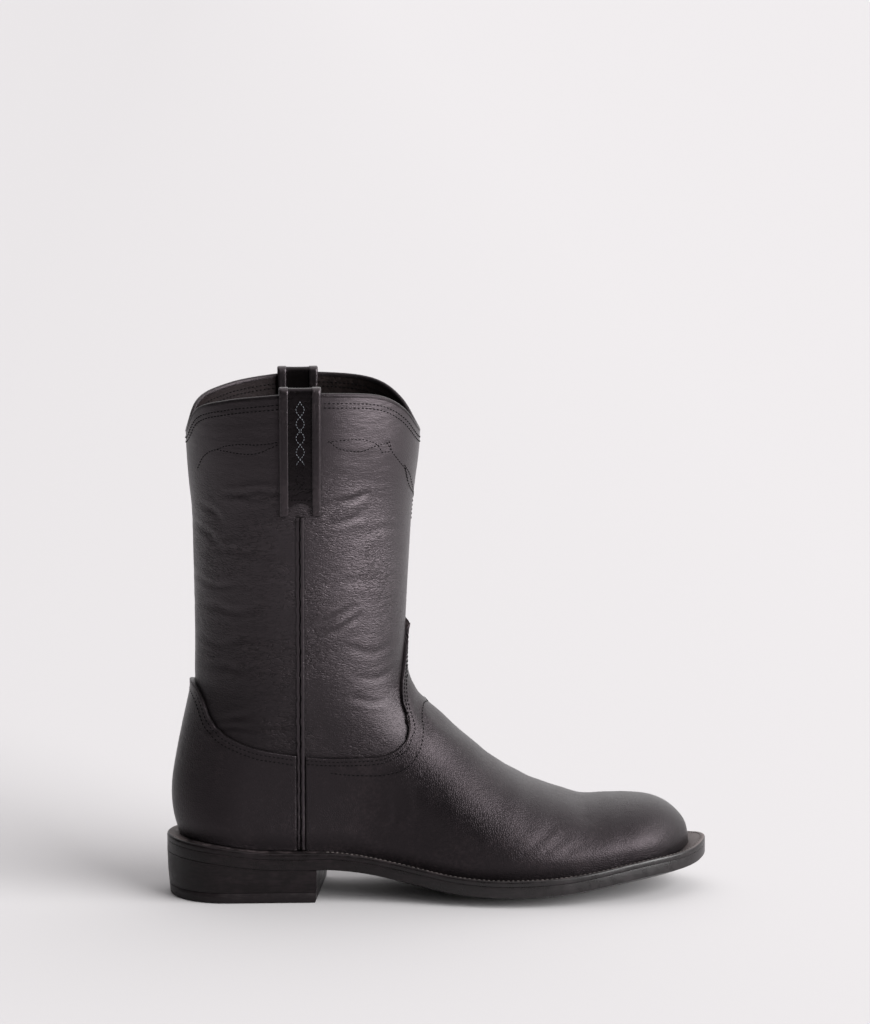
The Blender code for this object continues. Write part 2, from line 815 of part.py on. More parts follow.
def add_slab(name, loops, top, under, finish, across=SOLE_ACROSS):
    """A slab under an outline: its loops run round it from the top edge to the bottom edge.

    Each loop holds its lateral and its medial points from heel to toe, where both sides meet.
    """
    points, rings_of = [], []
    for lateral, medial in loops:
        first = len(points)
        points += list(lateral) + list(medial[1:-1])
        last = len(lateral) - 1
        ends = [first + i for i in range(last + 1)]
        back = [first + last + 1 + i for i in range(len(medial) - 2)]
        rings_of.append((ends, [ends[0]] + back + [ends[-1]]))
    faces = []
    for (lat, med), (low_lat, low_med) in zip(rings_of, rings_of[1:]):
        for i in range(len(lat) - 1):
            faces.append((lat[i], low_lat[i], low_lat[i + 1], lat[i + 1]))
            faces.append((med[i + 1], low_med[i + 1], low_med[i], med[i]))
    for (lat, med), height, upward in ((rings_of[0], top, True), (rings_of[-1], under, False)):
        lines = [[lat[0]] * (across + 1)]
        for i in range(1, len(lat) - 1):
            line = [lat[i]]
            for k in range(1, across):
                place = mix(np.array(points[lat[i]]), np.array(points[med[i]]), k / across)
                place[2] = height(place[0], place[1])
                line.append(len(points))
                points.append(place)
            lines.append(line + [med[i]])
        lines.append([lat[-1]] * (across + 1))
        for one, two in zip(lines, lines[1:]):
            for k in range(across):
                face = list(dict.fromkeys((one[k], two[k], two[k + 1], one[k + 1])))
                if len(face) > 2:
                    faces.append(tuple(face if upward else face[::-1]))
    return add_object(name, points, faces, finish)


def outline_loop(inset, height, back=None, tip=None, side=None):
    """One loop round the sole, inside its outline, at a height given by a function."""
    back = SOLE_BACK + inset if back is None else back
    tip = SOLE_TIP - inset if tip is None else tip
    side = inset if side is None else side
    turn = np.linspace(0.0, math.pi, SOLE_STATIONS + 1)
    xs = mix(back, tip, (1.0 - np.cos(turn)) / 2.0)
    half = inset_half(xs, side, back, tip)
    _, middle = flat_halves(xs)
    lateral = np.stack([xs, middle - half, height(xs, middle - half)], axis=1)
    medial = np.stack([xs, middle + half, height(xs, middle + half)], axis=1)
    return lateral, medial


def add_outsole(finish):
    def above_under(x, y):
        return sole_under(x, y) + EDGE_ROUND

    loops = [
        outline_loop(0.0, sole_over),
        outline_loop(0.0, above_under),
        outline_loop(EDGE_ROUND, sole_under),
    ]
    return add_slab("outsole", loops, sole_over, sole_under, finish)


def add_welt(finish):
    """The welt: a flat strip round the whole boot that the upper stands on."""
    reach = WALL + GAP

    def under(x, y):
        return sole_over(x, y) + SEAT_GAP

    def rim(inset, height):
        lateral, medial = outline_loop(inset, height)
        return np.concatenate([lateral, medial[-2:0:-1]])

    def inner(height):
        lateral, medial = outline_loop(
            0.0, height, FEATHER_BACK + reach, FEATHER_TIP - reach, FEATHER_SIDE + reach
        )
        return np.concatenate([lateral, medial[-2:0:-1]])

    def shoulder(x, y):
        return welt_over(x, y) - EDGE_ROUND

    outer = [rim(EDGE_ROUND, welt_over), rim(0.0, shoulder), rim(0.0, under)]
    loops = [inner(welt_over), *outer, inner(under)]
    sections = np.stack(loops, axis=1)
    return add_tube("welt", sections, True, finish)


def add_insole(finish):
    """The insole with its filling: it lies on the outsole, inside the welt and the upper."""
    reach = WALL + GAP + INSOLE_CLEARANCE

    def under(x, y):
        return sole_over(x, y) + SEAT_GAP

    def over(x, y):
        return under(x, y) + INSOLE_THICKNESS

    ends = (FEATHER_BACK + reach, FEATHER_TIP - reach, FEATHER_SIDE + reach)
    loops = [outline_loop(0.0, over, *ends), outline_loop(0.0, under, *ends)]
    return add_slab("insole", loops, over, under, finish)


def heel_loop(inset, height, breast):
    """One loop round the heel: the sole's outline as far as the slanted breast."""
    share = 1.0 - np.cos(np.linspace(0.0, math.pi / 2, HEEL_STATIONS + 1))
    xs = mix(SOLE_BACK + inset, breast, share)
    half = inset_half(xs, inset, SOLE_BACK + inset, SOLE_TIP)
    _, middle = flat_halves(xs)
    sides = []
    for sign in (-1.0, 1.0):
        y = middle + sign * half
        x = xs + BREAST_SLANT * (y / (BALL_WIDTH / 3)) * share
        sides.append(np.stack([x, y, height(x, y)], axis=1))
    return sides


def add_heel_piece(name, loops, finish):
    """A heel layer: loops from its top edge to its bottom edge, closed across the breast."""
    points, rings_of = [], []
    for lateral, medial in loops:
        first = len(points)
        points += list(lateral) + list(medial[1:])
        lat = [first + i for i in range(len(lateral))]
        med = [first] + [first + len(lateral) + i for i in range(len(medial) - 1)]
        rings_of.append((lat, med))
    faces = []
    for (lat, med), (low_lat, low_med) in zip(rings_of, rings_of[1:]):
        for i in range(len(lat) - 1):
            faces.append((lat[i], low_lat[i], low_lat[i + 1], lat[i + 1]))
            faces.append((med[i + 1], low_med[i + 1], low_med[i], med[i]))
        faces.append((lat[-1], low_lat[-1], low_med[-1], med[-1]))
    for (lat, med), upward in ((rings_of[0], True), (rings_of[-1], False)):
        for i in range(len(lat) - 1):
            face = list(dict.fromkeys((lat[i], lat[i + 1], med[i + 1], med[i])))
            faces.append(tuple(face if upward else face[::-1]))
    return add_object(name, points, faces, finish)


def add_heel(stack_finish, lift_finish):
    """The heel stack under the outsole, and the lift that stands on the floor."""

    def under_sole(x, y):
        middle = flat_halves(x)[1]
        return np.minimum(sole_under(x, y), sole_under(x, middle)) - GAP

    def level(height):
        return lambda x, y: np.full(np.shape(x), height)

    lift_inset = HEEL_TAPER * (1.0 - LIFT_THICKNESS / HEEL_HEIGHT)
    stack_foot = LIFT_THICKNESS + GAP
    stack = [
        heel_loop(0.0, under_sole, BREAST_X),
        heel_loop(lift_inset, level(stack_foot), BREAST_X - lift_inset / 2),
    ]
    lift = [
        heel_loop(lift_inset, level(LIFT_THICKNESS), BREAST_X - lift_inset / 2),
        heel_loop(HEEL_TAPER, level(EDGE_ROUND), BREAST_X - HEEL_TAPER / 2),
        heel_loop(HEEL_TAPER + EDGE_ROUND, level(0.0), BREAST_X - HEEL_TAPER / 2 - EDGE_ROUND),
    ]
    add_heel_piece("heel_stack", stack, stack_finish)
    add_heel_piece("heel_lift", lift, lift_finish)


def upper_rows():
    return np.concatenate([even_rows(0.0, 1.0, SHAFT_ROWS), even_rows(1.0, 2.0, FOOT_ROWS)[1:]])


def add_upper(finish):
    rows, turns = upper_rows(), all_turns()
    outer = upper_points(rows, turns)
    outer[-1, :, 2] = welt_over(outer[-1, :, 0], outer[-1, :, 1]) + SEAT_GAP
    return add_sheet("upper", outer, upper_points(rows, turns, -WALL), True, finish)


def seam_turn(row, offset):
    """The turn at which a ring lies a distance ahead of (or behind) the side seam."""
    turns = np.linspace(SEAM_SHARE - SEAM_REACH, SEAM_SHARE + SEAM_REACH, 3 * PATH_SAMPLES)
    x, _ = side_path(row, turns)
    return float(np.interp(SEAM_X + offset, x, turns))


def overlay_grid(rows, first, last, columns, out):
    """Rows of an overlay whose two side edges keep clear of the seam, by their own turns."""
    grid = []
    for row in rows:
        start, end = first(row), last(row)
        clear = (columns > start + COLUMN_CLEAR) & (columns < end - COLUMN_CLEAR)
        inside = columns[clear]
        turns = np.concatenate([[start], inside, [end]])
        grid.append(upper_points([row], turns, out)[0])
    return np.array(grid)


def add_vamp(finish):
    """The vamp: from the side seams over the toe, with a tongue-shaped point up the front."""
    rows = even_rows(1.0, 2.0, FOOT_ROWS)
    turns = all_turns()
    steps = turns[(turns > SEAM_SHARE + STEP) & (turns < 2.0 - SEAM_SHARE - STEP)]

    def start(row):
        return seam_turn(row, SEAM_HALF_WIDTH)

    def end(row):
        return 2.0 - start(row)

    outer = overlay_grid(rows, start, end, steps, OVERLAY_OUT)
    inner = overlay_grid(rows, start, end, steps, GAP)
    return add_sheet("vamp", outer, inner, False, finish)


def add_counter(finish):
    """The counter: it wraps the heel from side seam to side seam, up to a point at the back."""
    rows = even_rows(1.0, 2.0, FOOT_ROWS)
    turns = all_turns()
    behind = turns[turns < SEAM_SHARE - STEP]
    steps = np.concatenate([-behind[:0:-1], behind])

    def end(row):
        return seam_turn(row, -SEAM_HALF_WIDTH)

    def start(row):
        return -end(row)

    outer = overlay_grid(rows, start, end, steps, OVERLAY_OUT)
    inner = overlay_grid(rows, start, end, steps, GAP)
    return add_sheet("counter", outer, inner, False, finish)


def on_side(x, z, out, side):
    """A point beside the upper: side is -1 for lateral and 1 for medial."""
    half, middle = last_half(np.asarray(x, float), np.asarray(z, float))
    return np.stack([x + 0.0 * half, middle + side * (half + out), z + 0.0 * half], axis=-1)


def add_piping(name, side, finish):
    """The raised bead down a side seam, from under the pull strap to the welt."""
    top = COLLAR_HEIGHT - STRAP_DROP - GAP
    low = seat_height(SEAM_X) + GAP
    x = np.array([SEAM_X + corner.across * PIPING_HALF_WIDTH for corner in PIPING_SECTION])
    out = np.array([GAP + corner.up * (PIPING_HEIGHT - GAP) for corner in PIPING_SECTION])
    sections = []
    for z in np.linspace(top, low, PIPING_STATIONS):
        sections.append(on_side(x, np.full(len(x), z), out, side)[:: int(side)])
    return add_tube(name, np.array(sections), False, finish)


def add_binding(finish):
    """The bound edge that rides on the collar's rim all the way round."""
    turns = all_turns()
    outer = upper_points([0.0], turns)[0]
    inner = upper_points([0.0], turns, -WALL)[0]
    middle = (outer + inner) / 2.0
    across = outer - inner
    across[:, 2] = 0.0
    across /= np.linalg.norm(across, axis=1)[:, None]
    sections = []
    for corner in BINDING_SECTION:
        points = middle + across * corner.across * (WALL / 2 - BINDING_INSET)
        points[:, 2] = np.maximum(outer[:, 2], inner[:, 2]) + GAP + corner.up * BINDING_HEIGHT
        sections.append(points)
    return add_tube("collar_binding", np.stack(sections, axis=1), True, finish)


def add_strap(name, side, finish):
    """A pull strap: sewn down outside, looped over the collar and sewn down inside."""
    outside, inside = GAP, -WALL - GAP
    low, low_inside = COLLAR_HEIGHT - STRAP_DROP, COLLAR_HEIGHT - STRAP_TUCK_LENGTH
    half = STRAP_WIDTH / 2
    band = half - STRAP_BAND_WIDTH
    slope = STRAP_BAND_STEP / 2
    across = np.array([-half, -band - slope, -band + slope, 0.0, band - slope, band + slope, half])
    extra = np.array([1.0, 1.0, 0.0, 0.0, 0.0, 1.0, 1.0]) * STRAP_BAND_STEP
    bend = (outside - inside) / 2.0
    centre = (outside + inside) / 2.0
    shoulder = COLLAR_HEIGHT + GAP + BINDING_HEIGHT + STRAP_LOOP_SLACK - bend
    run = [(outside, z, 0.0) for z in np.linspace(low, shoulder, STRAP_STATIONS_OUT)]
    run += [
        (centre + bend * math.cos(a), shoulder + bend * math.sin(a), a)
        for a in np.linspace(0.0, math.pi, STRAP_STATIONS_BEND)[1:-1]
    ]
    run += [(inside, z, math.pi) for z in np.linspace(shoulder, low_inside, STRAP_STATIONS_IN)]
    near, far = [], []
    for out, z, turn in run:
        thick = STRAP_WALL + extra
        near.append(on_side(SEAM_X + across, np.full(len(across), z), np.full(len(across), out), side))
        outward, upward = thick * math.cos(turn), thick * math.sin(turn)
        far.append(on_side(SEAM_X + across, np.full(len(across), z), out + outward, side))
        far[-1][:, 2] += upward
    near, far = np.array(near), np.array(far)
    if side < 0:
        near, far = near[::-1], far[::-1]
    return add_sheet(name, far, near, False, finish)


def main():
    for obj in list(bpy.data.objects):
        bpy.data.objects.remove(obj)
    leather = material("black_leather", "1A1619", 0.45)
    lining = material("lining_leather", "2A2220", 0.6)
    edge = material("sole_edge", "1C1518", 0.35)
    welt = material("welt_leather", "6B6465", 0.7)
    rubber = material("heel_rubber", "131113", 0.6)
    add_outsole(edge)
    add_welt(welt)
    add_insole(lining)
    add_heel(edge, rubber)
    add_upper(leather)
    add_vamp(leather)
    add_counter(leather)
    add_binding(leather)
    for name, side in (("lateral", -1.0), ("medial", 1.0)):
        add_piping(f"side_piping_{name}", side, leather)
        add_strap(f"pull_strap_{name}", side, leather)


main()
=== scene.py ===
"""The looks of a roper boot for the right foot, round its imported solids.

+X points to the toe, +Z up and -Y to the outer side. Lengths are in metres. One form, the
last, gives the face that the upper, its overlays, seams, straps and stitches all follow.
"""

import logging  # noqa: E402
import math  # noqa: E402
from collections.abc import Callable, Sequence  # noqa: E402
from dataclasses import dataclass, field  # noqa: E402
from enum import Enum  # noqa: E402
from functools import cached_property  # noqa: E402
from typing import NamedTuple  # noqa: E402

import bmesh  # noqa: E402
import bpy  # noqa: E402
import numpy as np  # noqa: E402
from numpy.typing import NDArray  # noqa: E402
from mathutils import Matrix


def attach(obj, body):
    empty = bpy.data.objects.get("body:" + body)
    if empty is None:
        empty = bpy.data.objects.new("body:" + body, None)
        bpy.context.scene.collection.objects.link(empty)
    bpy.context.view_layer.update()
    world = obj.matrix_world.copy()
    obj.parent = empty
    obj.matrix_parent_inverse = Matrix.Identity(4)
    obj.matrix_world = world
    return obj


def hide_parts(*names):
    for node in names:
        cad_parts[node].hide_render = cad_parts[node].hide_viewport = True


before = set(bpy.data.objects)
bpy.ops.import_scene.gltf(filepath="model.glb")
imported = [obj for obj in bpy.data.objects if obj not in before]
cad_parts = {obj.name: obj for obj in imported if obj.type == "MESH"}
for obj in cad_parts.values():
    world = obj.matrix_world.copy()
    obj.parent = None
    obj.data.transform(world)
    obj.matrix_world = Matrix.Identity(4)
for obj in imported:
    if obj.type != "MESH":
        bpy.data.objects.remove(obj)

Array = NDArray[np.float64]
Path = Sequence[tuple[float, float]]
Height = Callable[[Array, Array], Array]
Loop = tuple[Array, Array]
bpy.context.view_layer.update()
LOG = logging.getLogger("roper_boot")
EASED = {"interpolation_type": "SMOOTHSTEP"}


def smooth(share: Array) -> Array:
    """A share that starts and ends level between 0 and 1."""
    share = np.clip(share, 0.0, 1.0)
    return share * share * (3.0 - 2.0 * share)


def mix(first: Array, second: Array, share: Array) -> Array:
    """A straight blend of two values."""
    return first + (second - first) * share


def rounding(share: Array) -> Array:
    """The half width of a quarter ellipse at a share of its depth, and 1 beyond it."""
    share = np.clip(share, 0.0, 1.0)
    return np.sqrt(share * (2.0 - share))


def unit(vectors: Array) -> Array:
    """Vectors brought to a length of one."""
    return vectors / np.maximum(np.linalg.norm(vectors, axis=-1), 1e-12)[..., None]


def between(keys: Array, values: Array, at: Array) -> Array:
    """Smooth values between given ones.

    Args:
        keys: the places of the given values, rising.
        values: a value or an array for each key.
        at: where to read; one place only if the values are arrays.

    Returns:
        The values there.
    """
    slopes = np.gradient(values, keys, axis=0)
    at = np.clip(at, keys[0], keys[-1])
    i = np.clip(np.searchsorted(keys, at, side="right") - 1, 0, len(keys) - 2)
    span = keys[i + 1] - keys[i]
    t = (at - keys[i]) / span
    start, end = t * (1.0 - t) ** 2 * span * slopes[i], t * t * (1.0 - t) * span * slopes[i + 1]
    return (1.0 - smooth(t)) * values[i] + smooth(t) * values[i + 1] + start - end


def catmull(p: Array, t: Array, at: Array) -> Array:
    """The centripetal Catmull-Rom stretch between the second and the third of four points.

    Args:
        p: the four points.
        t: their knots.
        at: where to read it.

    Returns:
        The points there.
    """
    line = list(p)
    for gap in (1, 2):
        ends = [(t[k], t[k + gap]) for k in range(len(line) - 1)]
        line = [(a * (e - at) + b * (at - s)) / (e - s) for a, b, (s, e) in zip(line, line[1:], ends)]
    return (line[0] * (t[2] - at) + line[1] * (at - t[1])) / (t[2] - t[1])


def curve_through(points: Path, samples: int, lean: float = 0.0) -> Array:
    """A smooth line through points, resampled along its length.

    Args:
        points: given points.
        samples: how many samples it gets.
        lean: over 0 to crowd the samples toward the end, under 0 toward the start.

    Returns:
        The samples.
    """
    points = np.asarray(points, float)
    padded = np.vstack([2 * points[0] - points[1], points, 2 * points[-1] - points[-2]])
    lengths = np.linalg.norm(np.diff(padded, axis=0), axis=1)
    knots = np.concatenate([[0.0], np.cumsum(np.sqrt(lengths))])
    line = []
    for i in range(1, len(padded) - 2):
        at = np.linspace(knots[i], knots[i + 1], 16, endpoint=False)[:, None]
        line.append(catmull(padded[i - 1 : i + 3], knots[i - 1 : i + 3], at))
    line = np.vstack(line + [points[-1:]])
    along = np.concatenate([[0.0], np.cumsum(np.linalg.norm(np.diff(line, axis=0), axis=1))])
    share = np.linspace(0.0, 1.0, samples)
    share = (share + lean * share * (1.0 - share)) * along[-1]
    return np.column_stack([np.interp(share, along, line[:, k]) for k in range(line.shape[1])])


@dataclass(frozen=True)
class Table:
    """Given rows; each column is a smooth function of the first, which rises."""

    columns: tuple[str, ...]
    rows: tuple[tuple[float, ...], ...]

    def curve(self, column: str, at: Array) -> Array:
        """A column's values at places in the first column."""
        rows = np.array(self.rows)
        return between(rows[:, 0], rows[:, self.columns.index(column)], at)


# The sole's outline: a place along it, and both halves as shares of the ball's width.
OUTLINE = Table(("along", "lateral", "medial"), (
    (0.0, 0.330, 0.318), (0.12, 0.336, 0.326), (0.25, 0.336, 0.316), (0.37, 0.338, 0.304),
    (0.45, 0.380, 0.336), (0.53, 0.446, 0.408), (0.615, 0.493, 0.475), (0.70, 0.496, 0.505),
    (0.78, 0.460, 0.505), (0.86, 0.392, 0.462), (0.94, 0.318, 0.405), (1.0, 0.262, 0.355),
))
# The sole's underside: shares of the heel's height, seat pitch, toe spring and ball crown.
LEVELS = Table(("along", "heel", "pitch", "spring", "crown"), (
    (0.0, 1.0, 1.0, 0.0, 0.0), (0.08, 1.0, 0.68, 0.0, 0.0), (0.175, 1.0, 0.10, 0.0, 0.0),
    (0.25, 1.0, 0.0, 0.0, 0.0), (0.295, 0.97, 0.0, 0.0, 0.10), (0.345, 0.83, 0.0, 0.0, 0.30),
    (0.40, 0.63, 0.0, 0.0, 0.45), (0.46, 0.36, 0.0, 0.0, 0.68), (0.52, 0.12, 0.0, 0.0, 0.88),
    (0.575, 0.0, 0.0, 0.0, 1.0), (0.665, 0.0, 0.0, 0.0, 1.0), (0.735, 0.0, 0.0, 0.07, 1.0),
    (0.79, 0.0, 0.0, 0.19, 1.0), (0.84, 0.0, 0.0, 0.33, 0.98), (0.895, 0.0, 0.0, 0.49, 0.92),
    (0.94, 0.0, 0.0, 0.66, 0.85), (1.0, 0.0, 0.0, 1.0, 0.80),
))
# The shaft: a share of its rise, then shares of its depth and of its width.
SHAFT = Table(("up", "back", "front", "half"), (
    (0.30, 0.170, 0.746, 0.375), (0.42, 0.159, 0.746, 0.392), (0.50, 0.157, 0.748, 0.410),
    (0.64, 0.161, 0.763, 0.445), (0.75, 0.167, 0.778, 0.470), (0.80, 0.178, 0.791, 0.480),
    (0.88, 0.189, 0.811, 0.490), (1.03, 0.188, 0.806, 0.500),
))
# The foot's top line: a share of the way to its tip, a share of the instep's rise above the
# stack, and how deep its rounding goes in.
FRONT_RIDGE = Table(("along", "up", "round"), (
    (0.390, 0.980, 0.050), (0.410, 0.910, 0.049), (0.456, 0.815, 0.047), (0.501, 0.714, 0.046),
    (0.547, 0.624, 0.044), (0.594, 0.542, 0.042), (0.641, 0.484, 0.040), (0.697, 0.425, 0.037),
    (0.758, 0.382, 0.033), (0.793, 0.370, 0.031), (0.829, 0.373, 0.029), (0.876, 0.373, 0.026),
    (0.921, 0.361, 0.024), (0.952, 0.332, 0.021), (0.978, 0.282, 0.017), (0.993, 0.230, 0.012),
))
# The heel's back line, top to bottom: shares of the shaft's rise and of the heel's curve.
HEEL_LINE = (
    (0.40, 0.61), (0.355, 0.69), (0.30, 0.79), (0.245, 0.88), (0.20, 0.94), (0.165, 0.953), (0.13, 0.925),
)
# Top edges in side view: shares of their run along X and of their rise.
VAMP_EDGE = (
    (0.0, 0.0), (0.26, -0.02), (0.52, -0.02), (0.74, -0.01), (0.89, 0.035), (0.985, 0.11), (1.015, 0.20),
    (0.985, 0.30), (0.945, 0.40), (0.935, 0.52), (0.965, 0.68), (0.99, 0.86), (1.0, 1.0),
)
COUNTER_EDGE = (
    (0.0, 0.0), (0.20, 0.05), (0.42, 0.115), (0.62, 0.225), (0.77, 0.375), (0.85, 0.54), (0.90, 0.74),
    (0.95, 0.90), (1.0, 1.0),
)
COLLAR_BACK = ((0.0, 0.0), (0.096, 0.541), (0.351, 0.784), (1.0, 1.0))
COLLAR_FRONT = ((0.0, 0.0), (0.671, 0.137), (0.865, 0.459), (1.0, 1.0))
# Rows round the shaft: the row share, then shares of the shaft's rise for the ends, the seam's
# lift and the bow.
SHAFT_RINGS = ((0.20, 0.808, 0.018, 0.0036), (0.45, 0.640, -0.021, 0.0))
# Rows round the foot: the row share, a share of the shaft's rise at the back, of the way up the
# seam, of the front line below the vamp's tip, of the instep's rise as sag, and the lean.
FOOT_RINGS = (
    (1.25, 0.315, 0.80, 0.26, 0.14, 0.50), (1.50, 0.235, 0.56, 0.56, 0.10, 0.25),
    (1.72, 0.165, 0.32, 0.86, 0.06, 0.05),
)
FOOT_BENDS = ((0.45, 1.0), (0.80, 0.75))


class Ring(NamedTuple):
    """A line round the upper in side view: back to seam, then seam to front."""

    back: Array
    front: Array
    back_share: float
    front_share: float


@dataclass
class Last:
    """The boot's form: its sizes in metres, and the face that every leather piece follows."""

    sole_length: float = 0.3045
    heel_behind: float = 0.037
    ball_width: float = 0.106
    toe_round: float = 0.040
    heel_round: float = 0.035
    outsole_thickness: float = 0.006
    welt_thickness: float = 0.0032
    ball_crown: float = 0.0065
    flat_half_width: float = 0.015
    toe_spring: float = 0.0190
    heel_height: float = 0.0189
    seat_pitch: float = 0.0060
    heel_length: float = 0.0875
    wall: float = 0.0022
    shaft_rise: float = 0.2795
    collar_scallop: float = 0.0255
    shaft_depth: float = 0.130
    shaft_width: float = 0.104
    shaft_round: float = 0.060
    instep_rise: float = 0.110
    heel_curve: float = 0.034
    tuck: float = 0.0025
    tuck_height: float = 0.012
    welt_margin_toe: float = 0.0095
    welt_margin_side: float = 0.0048
    welt_margin_heel: float = 0.0067
    seam_x: float = 0.0382
    vamp_tip_rise: float = 0.143
    counter_tip_rise: float = 0.112
    quarter_rise: float = 0.0740
    gap: float = 0.0004
    seat_gap: float = 0.0006
    overlay_wall: float = 0.0014
    binding_height: float = 0.0022
    path_samples: int = 80
    seat_samples: int = 9
    step: float = 1e-4
    ankle_start: float = 0.40
    ankle_run: float = 0.70
    heel_growth: float = 0.50
    toe_box_start: float = 0.64
    toe_box_run: float = 0.16
    follow_front: float = 0.40
    follow_back: float = 0.80
    follow_back_run: float = 0.50
    near_front: float = 0.012
    ridge_slope: float = 0.0033
    vamp_lean: float = -0.57
    seam_share: float = 1.0 / 3.0
    depths: dict[bytes, tuple[list, list]] = field(default_factory=dict, repr=False)

    def __post_init__(self) -> None:
        """Works out the places that follow from the sizes."""
        self.sole_back = -self.heel_behind
        self.sole_tip = self.sole_length - self.heel_behind
        self.stack = self.outsole_thickness + self.welt_thickness + self.seat_gap
        self.overlay_out = self.gap + self.overlay_wall
        self.feather_back = self.sole_back + self.welt_margin_heel + self.overlay_out
        self.feather_tip = self.sole_tip - self.welt_margin_toe - self.overlay_out
        self.feather_side = self.welt_margin_side + self.overlay_out
        self.collar_height = self.stack + self.shaft_rise - self.gap - self.binding_height
        self.breast_x = self.sole_back + self.heel_length

    @cached_property
    def front(self) -> Array:
        """The upper's front in side view, from above the collar down to the toe.

        Returns:
            Its places, X and z.
        """
        shaft = [(self.shaft_depth * front, self.up(up)) for up, _, front, _ in SHAFT.rows[:0:-1]]
        ridge = [(self.feather_tip * x, self.stack + self.instep_rise * z) for x, z, _ in FRONT_RIDGE.rows]
        return self.profile(shaft + ridge, self.feather_tip, 6)

    @cached_property
    def back(self) -> Array:
        """The upper's back in side view, from above the collar down to the heel seat.

        Returns:
            Its places, X and z.
        """
        shaft = [(-self.shaft_depth * back, self.up(up)) for up, back, _, _ in SHAFT.rows[:0:-1]]
        heel = [(-self.heel_curve * behind, self.up(up)) for up, behind in HEEL_LINE]
        return self.profile(shaft + heel, self.feather_back, 3)

    def profile(self, points: list[tuple[float, float]], end: float, parts: int) -> Array:
        """A profile line through points and down to the seat at its end."""
        return curve_through(points + self.seat_path(end, end, 1), parts * self.path_samples)

    def up(self, share: float) -> float:
        """The height of a share of the shaft's rise."""
        return self.stack + self.shaft_rise * share

    def sole_share(self, x: Array) -> Array:
        """The share of the sole's length at places along the boot."""
        return (np.asarray(x, float) - self.sole_back) / self.sole_length

    def flat_halves(self, x: Array) -> tuple[Array, Array]:
        """The sole's half width, before its ends are rounded, and the place of its middle."""
        lateral, medial = (self.ball_width * OUTLINE.curve(s, self.sole_share(x)) for s in ("lateral", "medial"))
        return (lateral + medial) / 2.0, (medial - lateral) / 2.0

    def inset_half(self, x: Array, side: float, back: float, tip: float) -> Array:
        """The half width of an outline that lies inside the sole's.

        Args:
            x: places along the boot.
            side: how far inside the sole's outline it lies at the sides.
            back: the place of its back end.
            tip: the place of its front end.

        Returns:
            Half widths.
        """
        ends = rounding((x - back) / (self.heel_round - side)) * rounding((tip - x) / (self.toe_round - side))
        return (self.flat_halves(x)[0] - side) * ends

    def sole_under(self, x: Array, y: Array) -> Array:
        """The height of the outsole's underside.

        Args:
            x: places along the boot.
            y: places across it.

        Returns:
            Heights.
        """
        half, middle = self.flat_halves(x)
        out = np.clip((np.abs(y - middle) - self.flat_half_width) / (half - self.flat_half_width), 0.0, 1.0)
        sizes = (self.heel_height, self.seat_pitch, self.toe_spring, self.ball_crown * out * out)
        names = LEVELS.columns[1:]
        rise = sum(size * LEVELS.curve(name, self.sole_share(x)) for size, name in zip(sizes, names))
        return np.where(rise < self.step / 100, 0.0, rise)

    def sole_over(self, x: Array, y: Array) -> Array:
        """The height of the outsole's upper face."""
        return self.sole_under(x, y) + self.outsole_thickness

    def welt_over(self, x: Array, y: Array) -> Array:
        """The height of the welt's upper face."""
        return self.sole_over(x, y) + self.seat_gap + self.welt_thickness

    def seat_height(self, x: Array) -> Array:
        """The height of the upper's lower edge at places along the boot.

        Args:
            x: places along the boot.

        Returns:
            Heights.
        """
        half, middle = self.flat_halves(x)
        edge = self.inset_half(x, self.feather_side, self.feather_back, self.feather_tip)
        return self.welt_over(x, middle + np.minimum(edge, half)) + self.seat_gap

    def seat_path(self, first: float, last: float, samples: int) -> list[tuple[float, float]]:
        """A stretch of the upper's lower edge in side view."""
        return [(x, float(self.seat_height(x))) for x in np.linspace(first, last, samples)]

    def place_on(self, line: Array, height: float) -> float:
        """The share of a profile line at which it first comes down to a height."""
        below = np.nonzero(line[:, 1] <= height)[0]
        return (below[0] if len(below) else len(line) - 1) / (len(line) - 1)

    def at_share(self, line: Array, share: Array | float) -> Array:
        """A profile line's place at a share of it."""
        at = np.clip(share, 0.0, 1.0) * (len(line) - 1)
        return np.array([np.interp(at, np.arange(len(line)), line[:, k]) for k in (0, 1)])

    def edge_points(self, shares: Path, start: Array, end: Array) -> Path:
        """A top edge in side view, as shares of the way between two places."""
        return [(mix(start[0], end[0], run), mix(start[1], end[1], rise)) for run, rise in shares]

    def ring(
        self,
        back_height: float,
        seam_height: float,
        front_share: float,
        back: Path | None = None,
        front: Path | None = None,
        bow: float = 0.0,
        lean: float = 0.0,
    ) -> Ring:
        """A ring from its ends on the two profiles.

        Args:
            back_height: its height on the back line.
            seam_height: its height at the side seam.
            front_share: its share of the front line.
            back: points for its back half, if it isn't plain.
            front: points for its front half, if it isn't plain.
            bow: how far the middle of each plain half is lifted.
            lean: how the front half's samples crowd toward its end.

        Returns:
            The ring.
        """
        back_share = self.place_on(self.back, back_height)
        start, end = self.at_share(self.back, back_share), self.at_share(self.front, front_share)
        seam, lift = np.array([self.seam_x, seam_height]), np.array([0.0, bow])
        back = curve_through(back or [start, mix(start, seam, 0.5) + lift, seam], self.path_samples)
        front = curve_through(front or [seam, mix(seam, end, 0.5) + lift, end], self.path_samples, lean)
        return Ring(back, front, back_share, front_share)

    def collar_ring(self) -> Ring:
        """The rim: high at the side seams, and down in a scallop at the back and the front.

        Returns:
            The ring.
        """
        low, seam = self.collar_height - self.collar_scallop, (self.seam_x, self.collar_height)
        front_share = self.place_on(self.front, low)
        back = self.edge_points(COLLAR_BACK, self.at_share(self.back, self.place_on(self.back, low)), seam)
        front = self.edge_points(COLLAR_FRONT, seam, self.at_share(self.front, front_share))
        return self.ring(low, self.collar_height, front_share, back, front)

